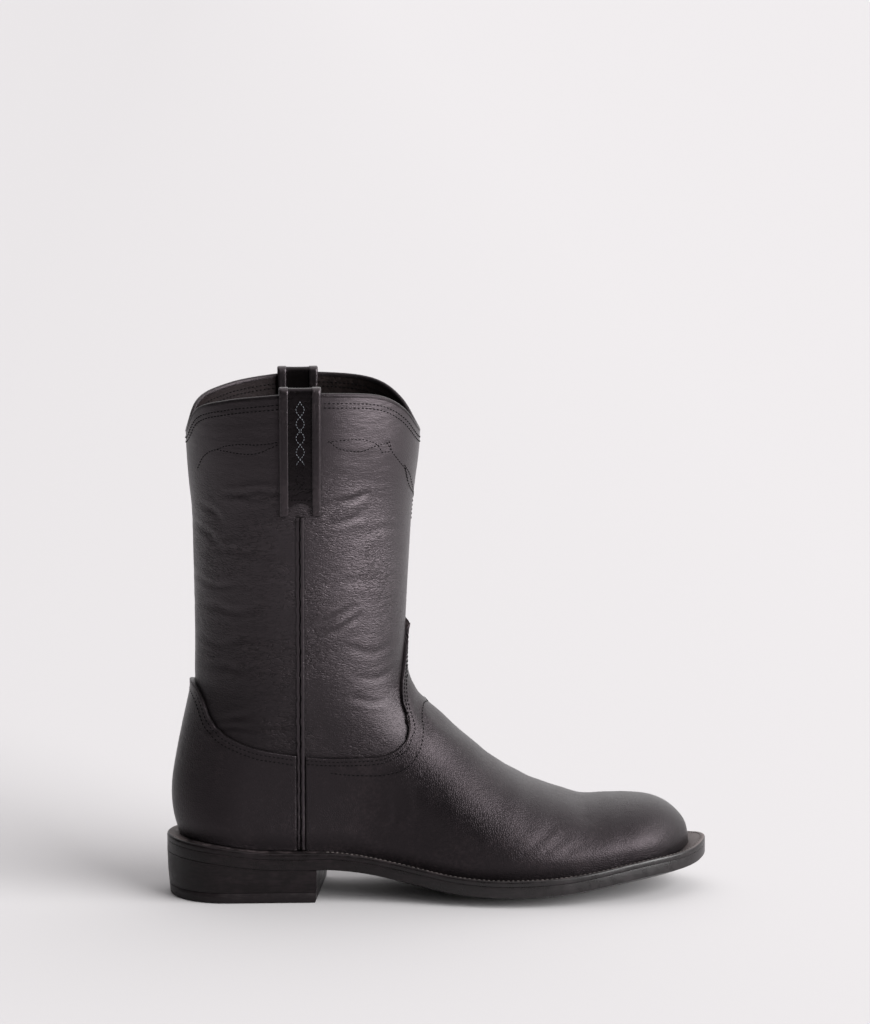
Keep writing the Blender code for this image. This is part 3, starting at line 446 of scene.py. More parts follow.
    @cached_property
    def rings(self) -> list[tuple[float, Ring]]:
        """The rings that the rows of the upper pass through, top to bottom, with their row shares.

        Returns:
            A row share and a ring for each.
        """
        rings = [(0.0, self.collar_ring())]
        for row, up, seam_lift, bow in SHAFT_RINGS:
            height, share = self.up(up), self.place_on(self.front, self.up(up))
            seam_height = height + seam_lift * self.shaft_rise
            rings.append((row, self.ring(height, seam_height, share, bow=bow * self.shaft_rise)))
        tip_share = self.place_on(self.front, self.stack + self.vamp_tip_rise)
        counter_tip = self.at_share(self.back, self.place_on(self.back, self.stack + self.counter_tip_rise))
        quarter = np.array([self.seam_x, self.stack + self.quarter_rise])
        counter = self.edge_points(COUNTER_EDGE, quarter, counter_tip)[::-1]
        vamp = self.edge_points(VAMP_EDGE, quarter, self.at_share(self.front, tip_share))
        edge = self.ring(counter_tip[1], quarter[1], tip_share, counter, vamp, lean=self.vamp_lean)
        rings.append((1.0, edge))
        seat_seam = float(self.seat_height(self.seam_x))
        for row, up, climb, travel, sag, lean in FOOT_RINGS:
            seam = np.array([self.seam_x, mix(seat_seam, quarter[1], climb)])
            share = mix(tip_share, 1.0, travel)
            end = self.at_share(self.front, share)
            drops = [np.array([0.0, fall * sag * self.instep_rise]) for _, fall in FOOT_BENDS]
            bends = [mix(seam, end, run) - drop for (run, _), drop in zip(FOOT_BENDS, drops)]
            rings.append((row, self.ring(self.up(up), seam[1], share, None, [seam, *bends, end], lean=lean)))
        back = self.seat_path(self.feather_back, self.seam_x, self.seat_samples)
        front = self.seat_path(self.seam_x, self.feather_tip, self.seat_samples)
        return rings + [(2.0, self.ring(self.back[-1, 1], seat_seam, 1.0, back, front))]

    def ring_value(self, values: Sequence, row: float) -> Array:
        """A smooth value at a row share, from one value or array for each key ring."""
        return between(np.array([key for key, _ in self.rings]), np.asarray(values, float), row)

    def halves_of(self, turn: Array) -> tuple[Array, Array]:
        """Shares along a ring's back and front half, closer together at both profiles.

        Args:
            turn: turns from 0 at the back centre to 1 at the front centre.

        Returns:
            The shares along the back half and along the front half.
        """
        behind = np.clip(turn / self.seam_share, 0.0, 1.0)
        ahead = np.clip((turn - self.seam_share) / (1.0 - self.seam_share), 0.0, 1.0)
        return behind**2 * (2.0 - behind), 1.0 - (1.0 - ahead) ** 2 * (1.0 + ahead)

    def back_x(self, z: Array) -> Array:
        """Where the back line is at heights."""
        return np.interp(-z, -self.back[:, 1], self.back[:, 0])

    def ring_depths(self, turn: Array) -> tuple[list, list]:
        """How far each key ring lies inside the two profiles.

        Args:
            turn: turns from 0 at the back centre to 1 at the front centre.

        Returns:
            Depths from the front line and from the back line, for each ring.
        """
        known = self.depths.get(turn.tobytes())
        if known:
            return known
        behind, ahead = self.halves_of(turn)
        samples = np.linspace(0.0, 1.0, self.path_samples)
        from_front, from_back = [], []
        for _, one in self.rings:
            x, z = (np.interp(ahead, samples, one.front[:, k]) for k in (0, 1))
            from_front.append(np.maximum(self.off_front(x, z)[2], self.ridge_slope * (1.0 - ahead)))
            x, z = (np.interp(behind, samples, one.back[:, k]) for k in (0, 1))
            from_back.append(x - self.back_x(z))
        self.depths[turn.tobytes()] = (from_front, from_back)
        return from_front, from_back

    def side_path(self, row: float, turn: Array) -> tuple[Array, Array]:
        """Places in side view of one row of the upper.

        Args:
            row: a row share: 0 at the collar, 1 at the overlays' top edge, 2 at the seat.
            turn: turns from 0 at the back centre to 1 at the front centre.

        Returns:
            X and z.
        """
        parts = [self.ring_value([ring[k] for _, ring in self.rings], row) for k in range(len(Ring._fields))]
        back, front = parts[:2]
        heel, toe = self.at_share(self.back, parts[2]), self.at_share(self.front, parts[3])
        samples = np.linspace(0.0, 1.0, self.path_samples)
        back = back + (1.0 - samples[:, None]) ** 2 * (heel - back[0])
        front = front + samples[:, None] ** 2 * (toe - front[-1])
        behind, ahead = self.halves_of(turn)
        early, late = ([np.interp(s, samples, h[:, k]) for k in (0, 1)] for s, h in ((behind, back), (ahead, front)))
        x, z = (np.where(turn < self.seam_share, early[k], late[k]) for k in (0, 1))
        foot, inward, depth = self.off_front(x, z)
        ring_front, ring_back = self.ring_depths(turn)
        beside = smooth((ahead - self.follow_front) / self.follow_front) * smooth(2.0 - depth / self.near_front)
        depth = mix(depth, self.ring_value(ring_front, row), beside)
        inside = foot + inward * depth[:, None]
        near_front = ahead > self.follow_front
        x, z = np.where(near_front, inside[:, 0], x), np.where(near_front, inside[:, 1], z)
        follow = smooth((self.follow_back - behind) / self.follow_back_run)
        gap = mix(x - self.back_x(z), self.ring_value(ring_back, row), follow)
        return np.where(behind < self.follow_back, self.back_x(z) + gap, x), z

    def off_front(self, x: Array, z: Array) -> tuple[Array, Array, Array]:
        """How places in side view lie to the front line.

        Args:
            x: places along the boot.
            z: heights above the floor.

        Returns:
            The nearest places on it, the directions into the boot, and how far in.
        """
        start, run = self.front[:-1], np.diff(self.front, axis=0)
        place = np.stack([x, z], axis=1)
        ahead = place[:, None, :] - start[None]
        share = np.clip((ahead * run).sum(axis=2) / (run * run).sum(axis=1), 0.0, 1.0)
        away = np.linalg.norm(ahead - share[..., None] * run, axis=2)
        nearest = away.argmin(axis=1)
        each = np.arange(len(place))
        foot = start[nearest] + share[each, nearest, None] * run[nearest]
        along = unit(run[nearest])
        inward = np.stack([along[:, 1], -along[:, 0]], axis=1)
        side = np.where(((place - foot) * inward).sum(axis=1) < 0.0, -1.0, 1.0)
        depth = side * away[each, nearest]
        clear = np.abs(depth) > self.step
        toward = (place - foot) / np.where(clear, depth, 1.0)[:, None]
        return foot, np.where(clear[:, None], toward, inward), depth

    def last_half(self, x: Array, z: Array) -> tuple[Array, Array]:
        """The width of the upper's outer face at places in side view.

        Args:
            x: places along the boot.
            z: heights above the floor.

        Returns:
            The half width and the place of its middle.
        """
        half, middle = self.flat_halves(x)
        seat = self.seat_height(x)
        tuck = self.tuck * smooth((z - seat) / self.tuck_height)
        up = (z - self.stack) / self.shaft_rise
        rise = smooth(((z - self.stack) / self.instep_rise - self.ankle_start) / self.ankle_run)
        width = mix(half - self.feather_side + tuck, self.shaft_width * SHAFT.curve("half", up), rise)
        foot, _, distance = self.off_front(np.ravel(x), np.ravel(z))
        instep = FRONT_RIDGE.curve("round", foot[:, 0] / self.feather_tip)
        leg = smooth((foot[:, 1] - self.stack - self.instep_rise) / self.instep_rise)
        depth = (distance / mix(instep, self.shaft_round, leg)).reshape(np.shape(x))
        line = self.front[len(self.front) // 2 :]
        top = np.interp(x, line[:, 0], line[:, 1])
        drop = np.clip((top - z) / np.maximum(top - seat, self.step), 0.0, 1.0)
        toward_toe = smooth((x / self.feather_tip - self.toe_box_start) / self.toe_box_run)
        front = mix(rounding(depth), rounding(drop), toward_toe)
        toe = rounding((self.feather_tip - x) / (self.toe_round - self.feather_side))
        reach = mix(self.heel_round - self.feather_side + tuck, self.shaft_round, smooth(up / self.heel_growth))
        back = rounding((x - self.back_x(z)) / reach)
        return width * front * toe * back, middle * (1.0 - rise)


class Side(Enum):
    """The two sides of the boot, as the sign of Y."""

    OUTER = -1.0
    INNER = 1.0


class Crease(NamedTuple):
    """A soft trough through points in side view, with a low roll of leather beside it.

    Points are shares: along the sole's length from its back end, and up the shaft's rise from
    the floor. Width and depth are in millimetres.
    """

    points: Path
    width: float
    depth: float
    sides: tuple[Side, ...] = (Side.OUTER, Side.INNER)


OUTER_ONLY = (Side.OUTER,)
CREASES = (
    # Under the pull strap, in front of it and behind it.
    Crease(((0.293, 0.787), (0.318, 0.808), (0.342, 0.819), (0.367, 0.829)), 1.6, 1.15),
    Crease(((0.289, 0.806), (0.309, 0.816), (0.335, 0.824)), 1.4, 0.80),
    Crease(((0.292, 0.770), (0.325, 0.775), (0.365, 0.790)), 1.9, 0.55, OUTER_ONLY),
    Crease(((0.108, 0.826), (0.145, 0.831), (0.182, 0.838), (0.210, 0.833)), 1.5, 0.85),
    Crease(((0.140, 0.824), (0.166, 0.822), (0.196, 0.832)), 1.3, 0.60, OUTER_ONLY),
    # Down the back panel.
    Crease(((0.066, 0.800), (0.090, 0.790), (0.105, 0.770)), 1.8, 0.55),
    Crease(((0.052, 0.760), (0.080, 0.745), (0.100, 0.720)), 1.9, 0.50),
    Crease(((0.060, 0.700), (0.110, 0.715), (0.170, 0.712), (0.225, 0.706)), 2.0, 0.40),
    Crease(((0.052, 0.655), (0.090, 0.640), (0.140, 0.650)), 1.8, 0.45),
    Crease(((0.050, 0.590), (0.085, 0.600), (0.130, 0.590), (0.180, 0.610)), 2.2, 0.45),
    Crease(((0.060, 0.535), (0.100, 0.522), (0.150, 0.540), (0.215, 0.530)), 2.2, 0.40),
    Crease(((0.062, 0.470), (0.105, 0.480), (0.160, 0.468)), 2.0, 0.40, OUTER_ONLY),
    Crease(((0.083, 0.346), (0.121, 0.357), (0.166, 0.354), (0.222, 0.354)), 1.5, 0.90),
    Crease(((0.085, 0.363), (0.126, 0.376), (0.166, 0.392)), 1.7, 0.50),
    # Down the front panel.
    Crease(((0.268, 0.558), (0.303, 0.580), (0.343, 0.603)), 1.9, 0.80),
    Crease(((0.272, 0.541), (0.313, 0.557), (0.353, 0.582)), 1.8, 0.65),
    Crease(((0.300, 0.640), (0.345, 0.655), (0.400, 0.650)), 2.6, 0.30),
    Crease(((0.330, 0.520), (0.380, 0.505), (0.420, 0.520)), 2.2, 0.35),
    Crease(((0.345, 0.462), (0.385, 0.452), (0.425, 0.470)), 2.0, 0.35),
    Crease(((0.340, 0.420), (0.380, 0.405), (0.415, 0.415)), 2.0, 0.35),
    Crease(((0.350, 0.740), (0.395, 0.755), (0.440, 0.745)), 2.4, 0.30),
    # On the vamp: its side, the instep and the toe box.
    Crease(((0.414, 0.146), (0.421, 0.186), (0.416, 0.226)), 2.2, 0.50),
    Crease(((0.434, 0.164), (0.437, 0.198), (0.427, 0.232)), 2.0, 0.40),
    Crease(((0.452, 0.150), (0.460, 0.190), (0.452, 0.235)), 2.6, 0.30),
    Crease(((0.462, 0.420), (0.461, 0.375), (0.480, 0.336)), 1.8, 0.60),
    Crease(((0.470, 0.385), (0.500, 0.352), (0.540, 0.322)), 2.6, 0.40),
    Crease(((0.478, 0.410), (0.508, 0.385), (0.545, 0.350)), 2.4, 0.50),
    Crease(((0.575, 0.330), (0.590, 0.285), (0.580, 0.240)), 4.0, 0.35),
    Crease(((0.660, 0.262), (0.668, 0.215), (0.655, 0.160)), 4.5, 0.40),
    Crease(((0.745, 0.225), (0.762, 0.185), (0.785, 0.150)), 5.0, 0.55),
    Crease(((0.643, 0.100), (0.679, 0.131), (0.712, 0.157)), 2.2, 0.22),
    Crease(((0.663, 0.089), (0.699, 0.115), (0.731, 0.137)), 2.0, 0.20),
    Crease(((0.700, 0.085), (0.730, 0.105), (0.760, 0.120)), 2.2, 0.16),
)


@dataclass
class Skin:
    """The upper's outer face as a fine grid of rows and turns, with its creases pressed in."""

    last: Last
    rows: int = 280
    side_turns: int = 160
    roll_height: float = 0.45
    roll_place: float = 1.9
    side_fade: float = 0.012

    def __post_init__(self) -> None:
        """Lays the grid out and presses the creases in."""
        turn = np.linspace(0.0, 1.0, self.side_turns + 1)
        near, far = [], []
        for row in np.linspace(0.0, 2.0, self.rows + 1):
            x, z = self.last.side_path(float(row), turn)
            half, middle = self.last.last_half(x, z)
            near.append(np.stack([x, middle - half, z], axis=1))
            far.append(np.stack([x, middle + half, z], axis=1))
        self.grid = np.concatenate([np.array(near), np.array(far)[:, -2:0:-1]], axis=1)
        self.grid = self.grid + self.crease_lift()[..., None] * self.face_normals()
        self.normals = self.face_normals()

    def face_normals(self) -> Array:
        """The directions out of the grid at each of its points."""
        around = np.roll(self.grid, -1, axis=1) - np.roll(self.grid, 1, axis=1)
        return unit(np.cross(np.gradient(self.grid, axis=0), around))

    def crease_lift(self) -> Array:
        """How far each point of the grid moves out, from the table of creases.

        Returns:
            Metres, under 0 in a trough.
        """
        x, y, z = (self.grid[..., k] for k in range(3))
        lift = np.zeros_like(x)
        for crease in CREASES:
            line = curve_through([self.place(a, u) for a, u in crease.points], 24)
            away, along = np.ones(x.shape), np.zeros(x.shape)
            for i, (px, pz) in enumerate(line):
                reach = np.hypot(x - px, z - pz)
                along = np.where(reach < away, i / (len(line) - 1), along)
                away = np.minimum(away, reach)
            away = away * 1000.0 / crease.width
            fade = np.sin(np.pi * np.clip(0.06 + 0.88 * along, 0.0, 1.0)) ** 0.8
            press = self.roll_height * np.exp(-((away - self.roll_place) ** 2)) - np.exp(-(away**2))
            on_side = np.max([smooth(0.5 + side.value * y / self.side_fade) for side in crease.sides], axis=0)
            lift += crease.depth / 1000.0 * press * fade * on_side
        return lift

    def place(self, along: float, up: float) -> tuple[float, float]:
        """A place in side view from shares of the sole's length and of the shaft's rise."""
        return self.last.sole_back + along * self.last.sole_length, up * self.last.shaft_rise

    def at(self, row: Array, turn: Array, out: Array | float = 0.0) -> Array:
        """Points on the skin, or a distance outside it.

        Args:
            row: row shares.
            turn: turns from 0 at the back over the outer side to 2.
            out: how far outside the skin they lie.

        Returns:
            The points, one for each row share and turn.
        """
        return self.read(self.grid, row, turn) + np.asarray(out)[..., None] * self.out_at(row, turn)

    def out_at(self, row: Array, turn: Array) -> Array:
        """The directions out of the skin at row shares and turns."""
        return unit(self.read(self.normals, row, turn))

    def read(self, values: Array, row: Array, turn: Array) -> Array:
        """Values of the grid between its points.

        Args:
            values: one vector for each point of the grid.
            row: row shares.
            turn: turns.

        Returns:
            The vectors there.
        """
        row, turn = np.broadcast_arrays(np.asarray(row, float), np.asarray(turn, float))
        r = np.clip(row / 2.0 * self.rows, 0.0, self.rows - 1e-6)
        t = np.mod(turn, 2.0) * self.side_turns
        i, j = np.floor(r).astype(int), np.floor(t).astype(int)
        u, v = (r - i)[..., None], (t - j)[..., None]
        j, k = j % values.shape[1], (j + 1) % values.shape[1]
        return mix(mix(values[i, j], values[i, k], v), mix(values[i + 1, j], values[i + 1, k], v), u)

    def find(self, x: float, z: float) -> tuple[float, float]:
        """The row share and turn of a place in side view, on the outer side.

        Args:
            x: its place along the boot.
            z: its height.

        Returns:
            The row share and the turn.
        """
        half = self.grid[:, : self.side_turns + 1]
        away = (half[..., 0] - x) ** 2 + (half[..., 2] - z) ** 2
        i, j = np.unravel_index(int(away.argmin()), away.shape)
        row, turn = 2.0 * i / self.rows, j / self.side_turns
        step, most = 1e-3, 0.02
        for _ in range(4):
            here = self.at(row, turn)[[0, 2]]
            by_row = (self.at(min(row + step, 2.0), turn)[[0, 2]] - here) / step
            by_turn = (self.at(row, turn + step)[[0, 2]] - here) / step
            jacobian = np.stack([by_row, by_turn], axis=1)
            if abs(np.linalg.det(jacobian)) < 1e-7:
                break
            move = np.clip(np.linalg.solve(jacobian, np.array([x, z]) - here), -most, most)
            row, turn = float(np.clip(row + move[0], 0.0, 2.0)), float(np.clip(turn + move[1], 0.0, 1.0))
        return row, turn

    def beside(self, row: Array, turn: Array, distance: Array | float) -> Array:
        """Row shares of a line that keeps a distance below another line.

        Args:
            row: row shares of the line.
            turn: its turns.
            distance: how far below it the new line runs, across the leather.

        Returns:
            Row shares at the same turns.
        """
        step, parts, spread = 6e-3, 8, 9
        for _ in range(parts):
            here = self.at(row, turn)
            down = (self.at(row + step, turn) - here) / step
            cross = np.linalg.norm(np.cross(down, unit(np.gradient(here, axis=0))), axis=-1)
            move = np.pad(distance / parts / np.maximum(cross, 0.012), spread // 2, mode="edge")
            row = row + np.convolve(move, np.full(spread, 1.0 / spread), mode="valid")
        return row


def linear(hex_colour: str) -> tuple[float, ...]:
    """The linear colour of an sRGB hex value."""
    channels = [int(hex_colour[i : i + 2], 16) / 255 for i in (0, 2, 4)]
    return (*(c / 12.92 if c <= 0.04045 else ((c + 0.055) / 1.055) ** 2.4 for c in channels), 1.0)


def fill(node: bpy.types.Node, inputs: dict[int | str, object]) -> None:
    """Links or sets a node's inputs, by their names or indices.

    Args:
        node: the node.
        inputs: a socket or a value for each input's name or index.
    """
    for key, value in inputs.items():
        if isinstance(value, bpy.types.NodeSocket):
            node.id_data.links.new(value, node.inputs[key])
        else:
            node.inputs[key].default_value = value


def add(
    tree: bpy.types.NodeTree, kind: str, inputs: dict | None = None, out: int | str = 0, **settings: object
) -> bpy.types.NodeSocket | None:
    """Adds one node with its settings, values and links.

    Args:
        tree: the node tree.
        kind: the node's type, without the ShaderNode that most begin with.
        inputs: for each input's name or index, a socket to link or a value to set.
        out: the output that is wanted.
        settings: the node's own properties.

    Returns:
        That output, if the node has any.
    """
    node = tree.nodes.new(kind if kind.startswith(("Geometry", "Function", "Node")) else f"ShaderNode{kind}")
    for name, value in settings.items():
        setattr(node, name, value)
    fill(node, inputs or {})
    return node.outputs[out] if len(node.outputs) else None


@dataclass(frozen=True)
class Finish:
    """A surface finish: its name, its sRGB colour, its roughness and its gloss."""

    name: str
    colour: str
    roughness: float
    gloss: float

    def material(self) -> bpy.types.Material:
        """The node material, in Object coordinates.

        Returns:
            The material.
        """
        made = bpy.data.materials.new(self.name)
        made.use_nodes = True
        place = add(made.node_tree, "TexCoord", out="Object")
        fill(made.node_tree.nodes["Principled BSDF"], self.surface(made.node_tree, place))
        return made

    def surface(self, tree: bpy.types.NodeTree, place: bpy.types.NodeSocket) -> dict[int | str, object]:
        """The shader's inputs; this one is plain.

        Args:
            tree: the material's tree; not used here.
            place: the place on the piece; not used here.

        Returns:
            A socket or a value for each input's name.
        """
        return {
            "Base Color": linear(self.colour), "Roughness": self.roughness, "Specular IOR Level": self.gloss,
        }


@dataclass(frozen=True)
class Leather(Finish):
    """Black grained leather: dyed through, finished with a thin wax that gives a soft gloss.

    Its grain is drawn at about 1 mm, two of the render's pixels, because finer grain wouldn't
    show; the real grain's size can't be read from the photo. The back panel, behind rear_end,
    and the ankle reflect less of the light than the front.
    """

    colour: str = "0E0C0D"
    rubbed: str = "1A1617"
    roughness: float = 0.42
    spread: float = 0.14
    grain_mm: float = 0.9
    grain_depth_mm: float = 0.05
    wrinkle_mm: float = 2.2
    wrinkle_depth_mm: float = 0.16
    wrinkle_flat: float = 3.2
    fine_share: float = 1.6
    pillow_depth_mm: float = 0.35
    coat: float = 0.06
    gloss: float = 0.30
    sheen: str = "FFEDF6"
    rear_roughness: float = 0.0
    rear_gloss: float = 1.0
    ankle_gloss: float = 1.0
    # Painted shade: how far the gloss drops in the fold valleys.
    painted_crease_shade: float = 0.0
    smooth_from: float = 9.0
    smooth_to: float = 10.0
    rear_end: float = 0.0385

    def surface(self, tree: bpy.types.NodeTree, place: bpy.types.NodeSocket) -> dict[int | str, object]:
        """Folds, fine wrinkles and grain as bump, rubbed here and there, with painted shade in the fold valleys.

        Args:
            tree: the material's tree.
            place: the place on the piece.

        Returns:
            A socket or a value for each input's name.
        """
        flat = add(tree, "Mapping", {0: place, "Scale": (1.0, 1.0, self.wrinkle_flat)})
        patches = add(tree, "TexNoise", {"Vector": place, "Scale": 24.0, "Detail": 4.0, "Roughness": 0.6})
        warp = add(tree, "TexNoise", {"Vector": place, "Scale": 1000.0 / 9.0, "Detail": 2.0}, "Color")
        bent = add(tree, "VectorMath", {0: warp, 1: (0.0012,) * 3, 2: flat}, operation="MULTIPLY_ADD")
        # Folds: the valleys where a noise crosses its middle, only in patches.
        size = 1000.0 / (self.wrinkle_mm * 3.2)
        ridge = add(tree, "TexNoise", {"Vector": bent, "Scale": size, "Detail": 2.0, "Roughness": 0.5})
        off = add(tree, "Math", {0: ridge, 1: 0.5}, operation="SUBTRACT")
        lines = add(tree, "Math", {0: off}, operation="ABSOLUTE")
        valley = add(tree, "MapRange", {0: lines, 2: 0.07}, **EASED)
        where = add(tree, "MapRange", {0: patches, 1: 0.42, 2: 0.62, 3: 0.15}, **EASED)
        size = 1000.0 / self.wrinkle_mm
        fine = add(tree, "TexNoise", {"Vector": bent, "Scale": size, "Detail": 3.0, "Roughness": 0.55})
        x, _, z = add(tree, "SeparateXYZ", {0: place}).node.outputs
        calm = add(tree, "MapRange", {0: z, 1: self.smooth_from, 2: self.smooth_to, 3: 1.0, 4: 0.15})
        where = add(tree, "Math", {0: where, 1: calm}, operation="MULTIPLY")
        fine = add(tree, "Math", {0: fine, 1: calm}, operation="MULTIPLY")
        folds = add(tree, "Math", {0: valley, 1: where}, operation="MULTIPLY")
        height = add(tree, "Math", {0: fine, 1: self.fine_share, 2: folds}, operation="MULTIPLY_ADD")
        # Grain: flat pebbles between fine lines.
        pebbles = {"Vector": place, "Scale": 1000.0 / self.grain_mm, "Randomness": 0.9}
        borders = add(tree, "TexVoronoi", pebbles, feature="DISTANCE_TO_EDGE")
        cells = add(tree, "MapRange", {0: borders, 2: 0.26}, **EASED)
        pillow = add(tree, "TexNoise", {"Vector": flat, "Scale": 55.0, "Detail": 2.0, "Roughness": 0.5})
        normal = {}
        for depth, relief in (
            (self.pillow_depth_mm, pillow), (self.wrinkle_depth_mm, height), (self.grain_depth_mm, cells)
        ):
            bump = {"Strength": 1.0, "Distance": depth / 1000.0, "Height": relief, **normal}
            normal = {"Normal": add(tree, "Bump", bump)}
        # Colour, roughness and gloss.
        wear = add(tree, "Math", {0: patches, 1: fine}, operation="MULTIPLY")
        rub = add(tree, "MapRange", {0: wear, 1: 0.22, 2: 0.42}, **EASED)
        tones = {0: rub, 6: linear(self.colour), 7: linear(self.rubbed)}
        low, high = self.roughness - self.spread / 2, self.roughness + self.spread / 2
        rough = add(tree, "MapRange", {0: patches, 1: 0.3, 2: 0.7, 3: low, 4: high})
        panel = {0: x, 1: self.rear_end - 0.002, 2: self.rear_end + 0.002}
        rear = add(tree, "MapRange", {**panel, 3: self.rear_roughness, 4: 0.0})
        gloss = add(tree, "MapRange", {**panel, 3: self.gloss * self.rear_gloss, 4: self.gloss})
        ankle = add(tree, "MapRange", {0: z, 1: 0.10, 2: 0.18, 3: self.ankle_gloss})
        # Painted shade: the gloss drops along the fold valleys, so that their lines read dark.
        gap = add(tree, "Math", {0: where, 1: folds}, operation="SUBTRACT")
        kept = add(tree, "Math", {0: gap, 1: -self.painted_crease_shade, 2: 1.0}, operation="MULTIPLY_ADD")
        for share in (ankle, kept):
            gloss = add(tree, "Math", {0: gloss, 1: share}, operation="MULTIPLY")
        return {
            "Base Color": add(tree, "Mix", tones, 2, data_type="RGBA"),
            "Roughness": add(tree, "Math", {0: rough, 1: rear}, operation="ADD"),
            **normal,
            "Specular IOR Level": gloss,
            "Specular Tint": linear(self.sheen),
            "Coat Weight": self.coat,
            "Coat Roughness": 0.28,
        }


@dataclass(frozen=True)
class EdgeFinish(Finish):
    """A cut edge: leather or rubber that was sanded, stained dark and burnished with wax."""

    colour: str = "0D090A"
    streak: str = "171113"
    roughness: float = 0.33
    streak_mm: float = 0.8
    depth_mm: float = 0.08
    gloss: float = 0.26
    heel_gloss: float = 0.26
    worn: str = ""

    def surface(self, tree: bpy.types.NodeTree, place: bpy.types.NodeSocket) -> dict[int | str, object]:
        """Streaks along the edge and scuffs, duller at the heel and worn pale at both ends.

        Args:
            tree: the material's tree.
            place: the place on the piece.

        Returns:
            A socket or a value for each input's name.
        """
        long = add(tree, "Mapping", {0: place, "Scale": (0.12, 0.12, 1.0)})
        size = 1000.0 / self.streak_mm
        streaks = add(tree, "TexNoise", {"Vector": long, "Scale": size, "Detail": 4.0, "Roughness": 0.65})
        scuffs = add(tree, "TexNoise", {"Vector": place, "Scale": 130.0, "Detail": 6.0, "Roughness": 0.7})
        both = add(tree, "Math", {0: streaks, 1: scuffs}, operation="MULTIPLY")
        amount = add(tree, "MapRange", {0: both, 1: 0.20, 2: 0.36}, **EASED)
        tones = {0: amount, 6: linear(self.colour), 7: linear(self.streak)}
        colour = add(tree, "Mix", tones, 2, data_type="RGBA")
        x = add(tree, "SeparateXYZ", {0: place})
        if self.worn:
            back = add(tree, "MapRange", {0: x, 1: -0.024, 2: -0.031, 4: 0.8})
            tip = add(tree, "MapRange", {0: x, 1: 0.250, 2: 0.262, 4: 0.8})
            ends = add(tree, "Math", {0: back, 1: tip}, operation="ADD")
            colour = add(tree, "Mix", {0: ends, 6: colour, 7: linear(self.worn)}, 2, data_type="RGBA")
        low, high = self.roughness - 0.08, self.roughness + 0.14
        return {
            "Base Color": colour,
            "Roughness": add(tree, "MapRange", {0: scuffs, 1: 0.3, 2: 0.7, 3: low, 4: high}),
            "Normal": add(tree, "Bump", {"Strength": 1.0, "Distance": self.depth_mm / 1000.0, "Height": both}),
            "Specular IOR Level": add(
                tree, "MapRange", {0: x, 1: 0.06, 2: 0.15, 3: self.heel_gloss, 4: self.gloss}
            ),
        }


@dataclass(frozen=True)
class Thread(Finish):
    """Waxed sewing thread, with a slight twist that a fine noise stands for."""

    roughness: float = 0.65
    gloss: float = 0.3

    def surface(self, tree: bpy.types.NodeTree, place: bpy.types.NodeSocket) -> dict[int | str, object]:
        """The thread's colour and a darker one, by turns, with a slight bump.

        Args:
            tree: the material's tree.
            place: the place on the piece.

        Returns:
            A socket or a value for each input's name.
        """
        twist = add(tree, "TexNoise", {"Vector": place, "Scale": 2500.0, "Detail": 2.0})
        light = linear(self.colour)
        dark = (*(0.6 * channel for channel in light[:3]), 1.0)
        return {
            **super().surface(tree, place),
            "Base Color": add(tree, "Mix", {0: twist, 6: dark, 7: light}, 2, data_type="RGBA"),
            "Normal": add(tree, "Bump", {"Strength": 0.6, "Distance": 0.00008, "Height": twist}),
        }


@dataclass(frozen=True)
class Paper(Finish):
    """Pale matt studio paper, with painted light that makes it a little lighter to the right, and painted shade that
    makes it dark far in front.
    """

    # Painted light: the lighter tone that the paper turns to towards the right.
    right: str = "BBB9BA"
    # Painted shade: the dark tone of the paper far in front of the boot.
    front: str = "4A494A"
    fades_at: float = -0.6

    def surface(self, tree: bpy.types.NodeTree, place: bpy.types.NodeSocket) -> dict[int | str, object]:
        """The paper's tone, with painted light to the right and painted shade far in front.

        Args:
            tree: the material's tree.
            place: the place on the piece.

        Returns:
            A socket or a value for each input's name.
        """
        x, y, _ = add(tree, "SeparateXYZ", {0: place}).node.outputs
        # Painted light: lighter towards the right.
        across = add(tree, "MapRange", {0: x, 1: -0.3, 2: 0.5})
        # Painted shade: dark far in front.
        fade = add(tree, "MapRange", {0: y, 1: self.fades_at, 2: self.fades_at - 1.0}, **EASED)
        colour = linear(self.colour)
        for share, tone in ((across, self.right), (fade, self.front)):
            colour = add(tree, "Mix", {0: share, 6: colour, 7: linear(tone)}, 2, data_type="RGBA")
        return {**super().surface(tree, place), "Base Color": colour}


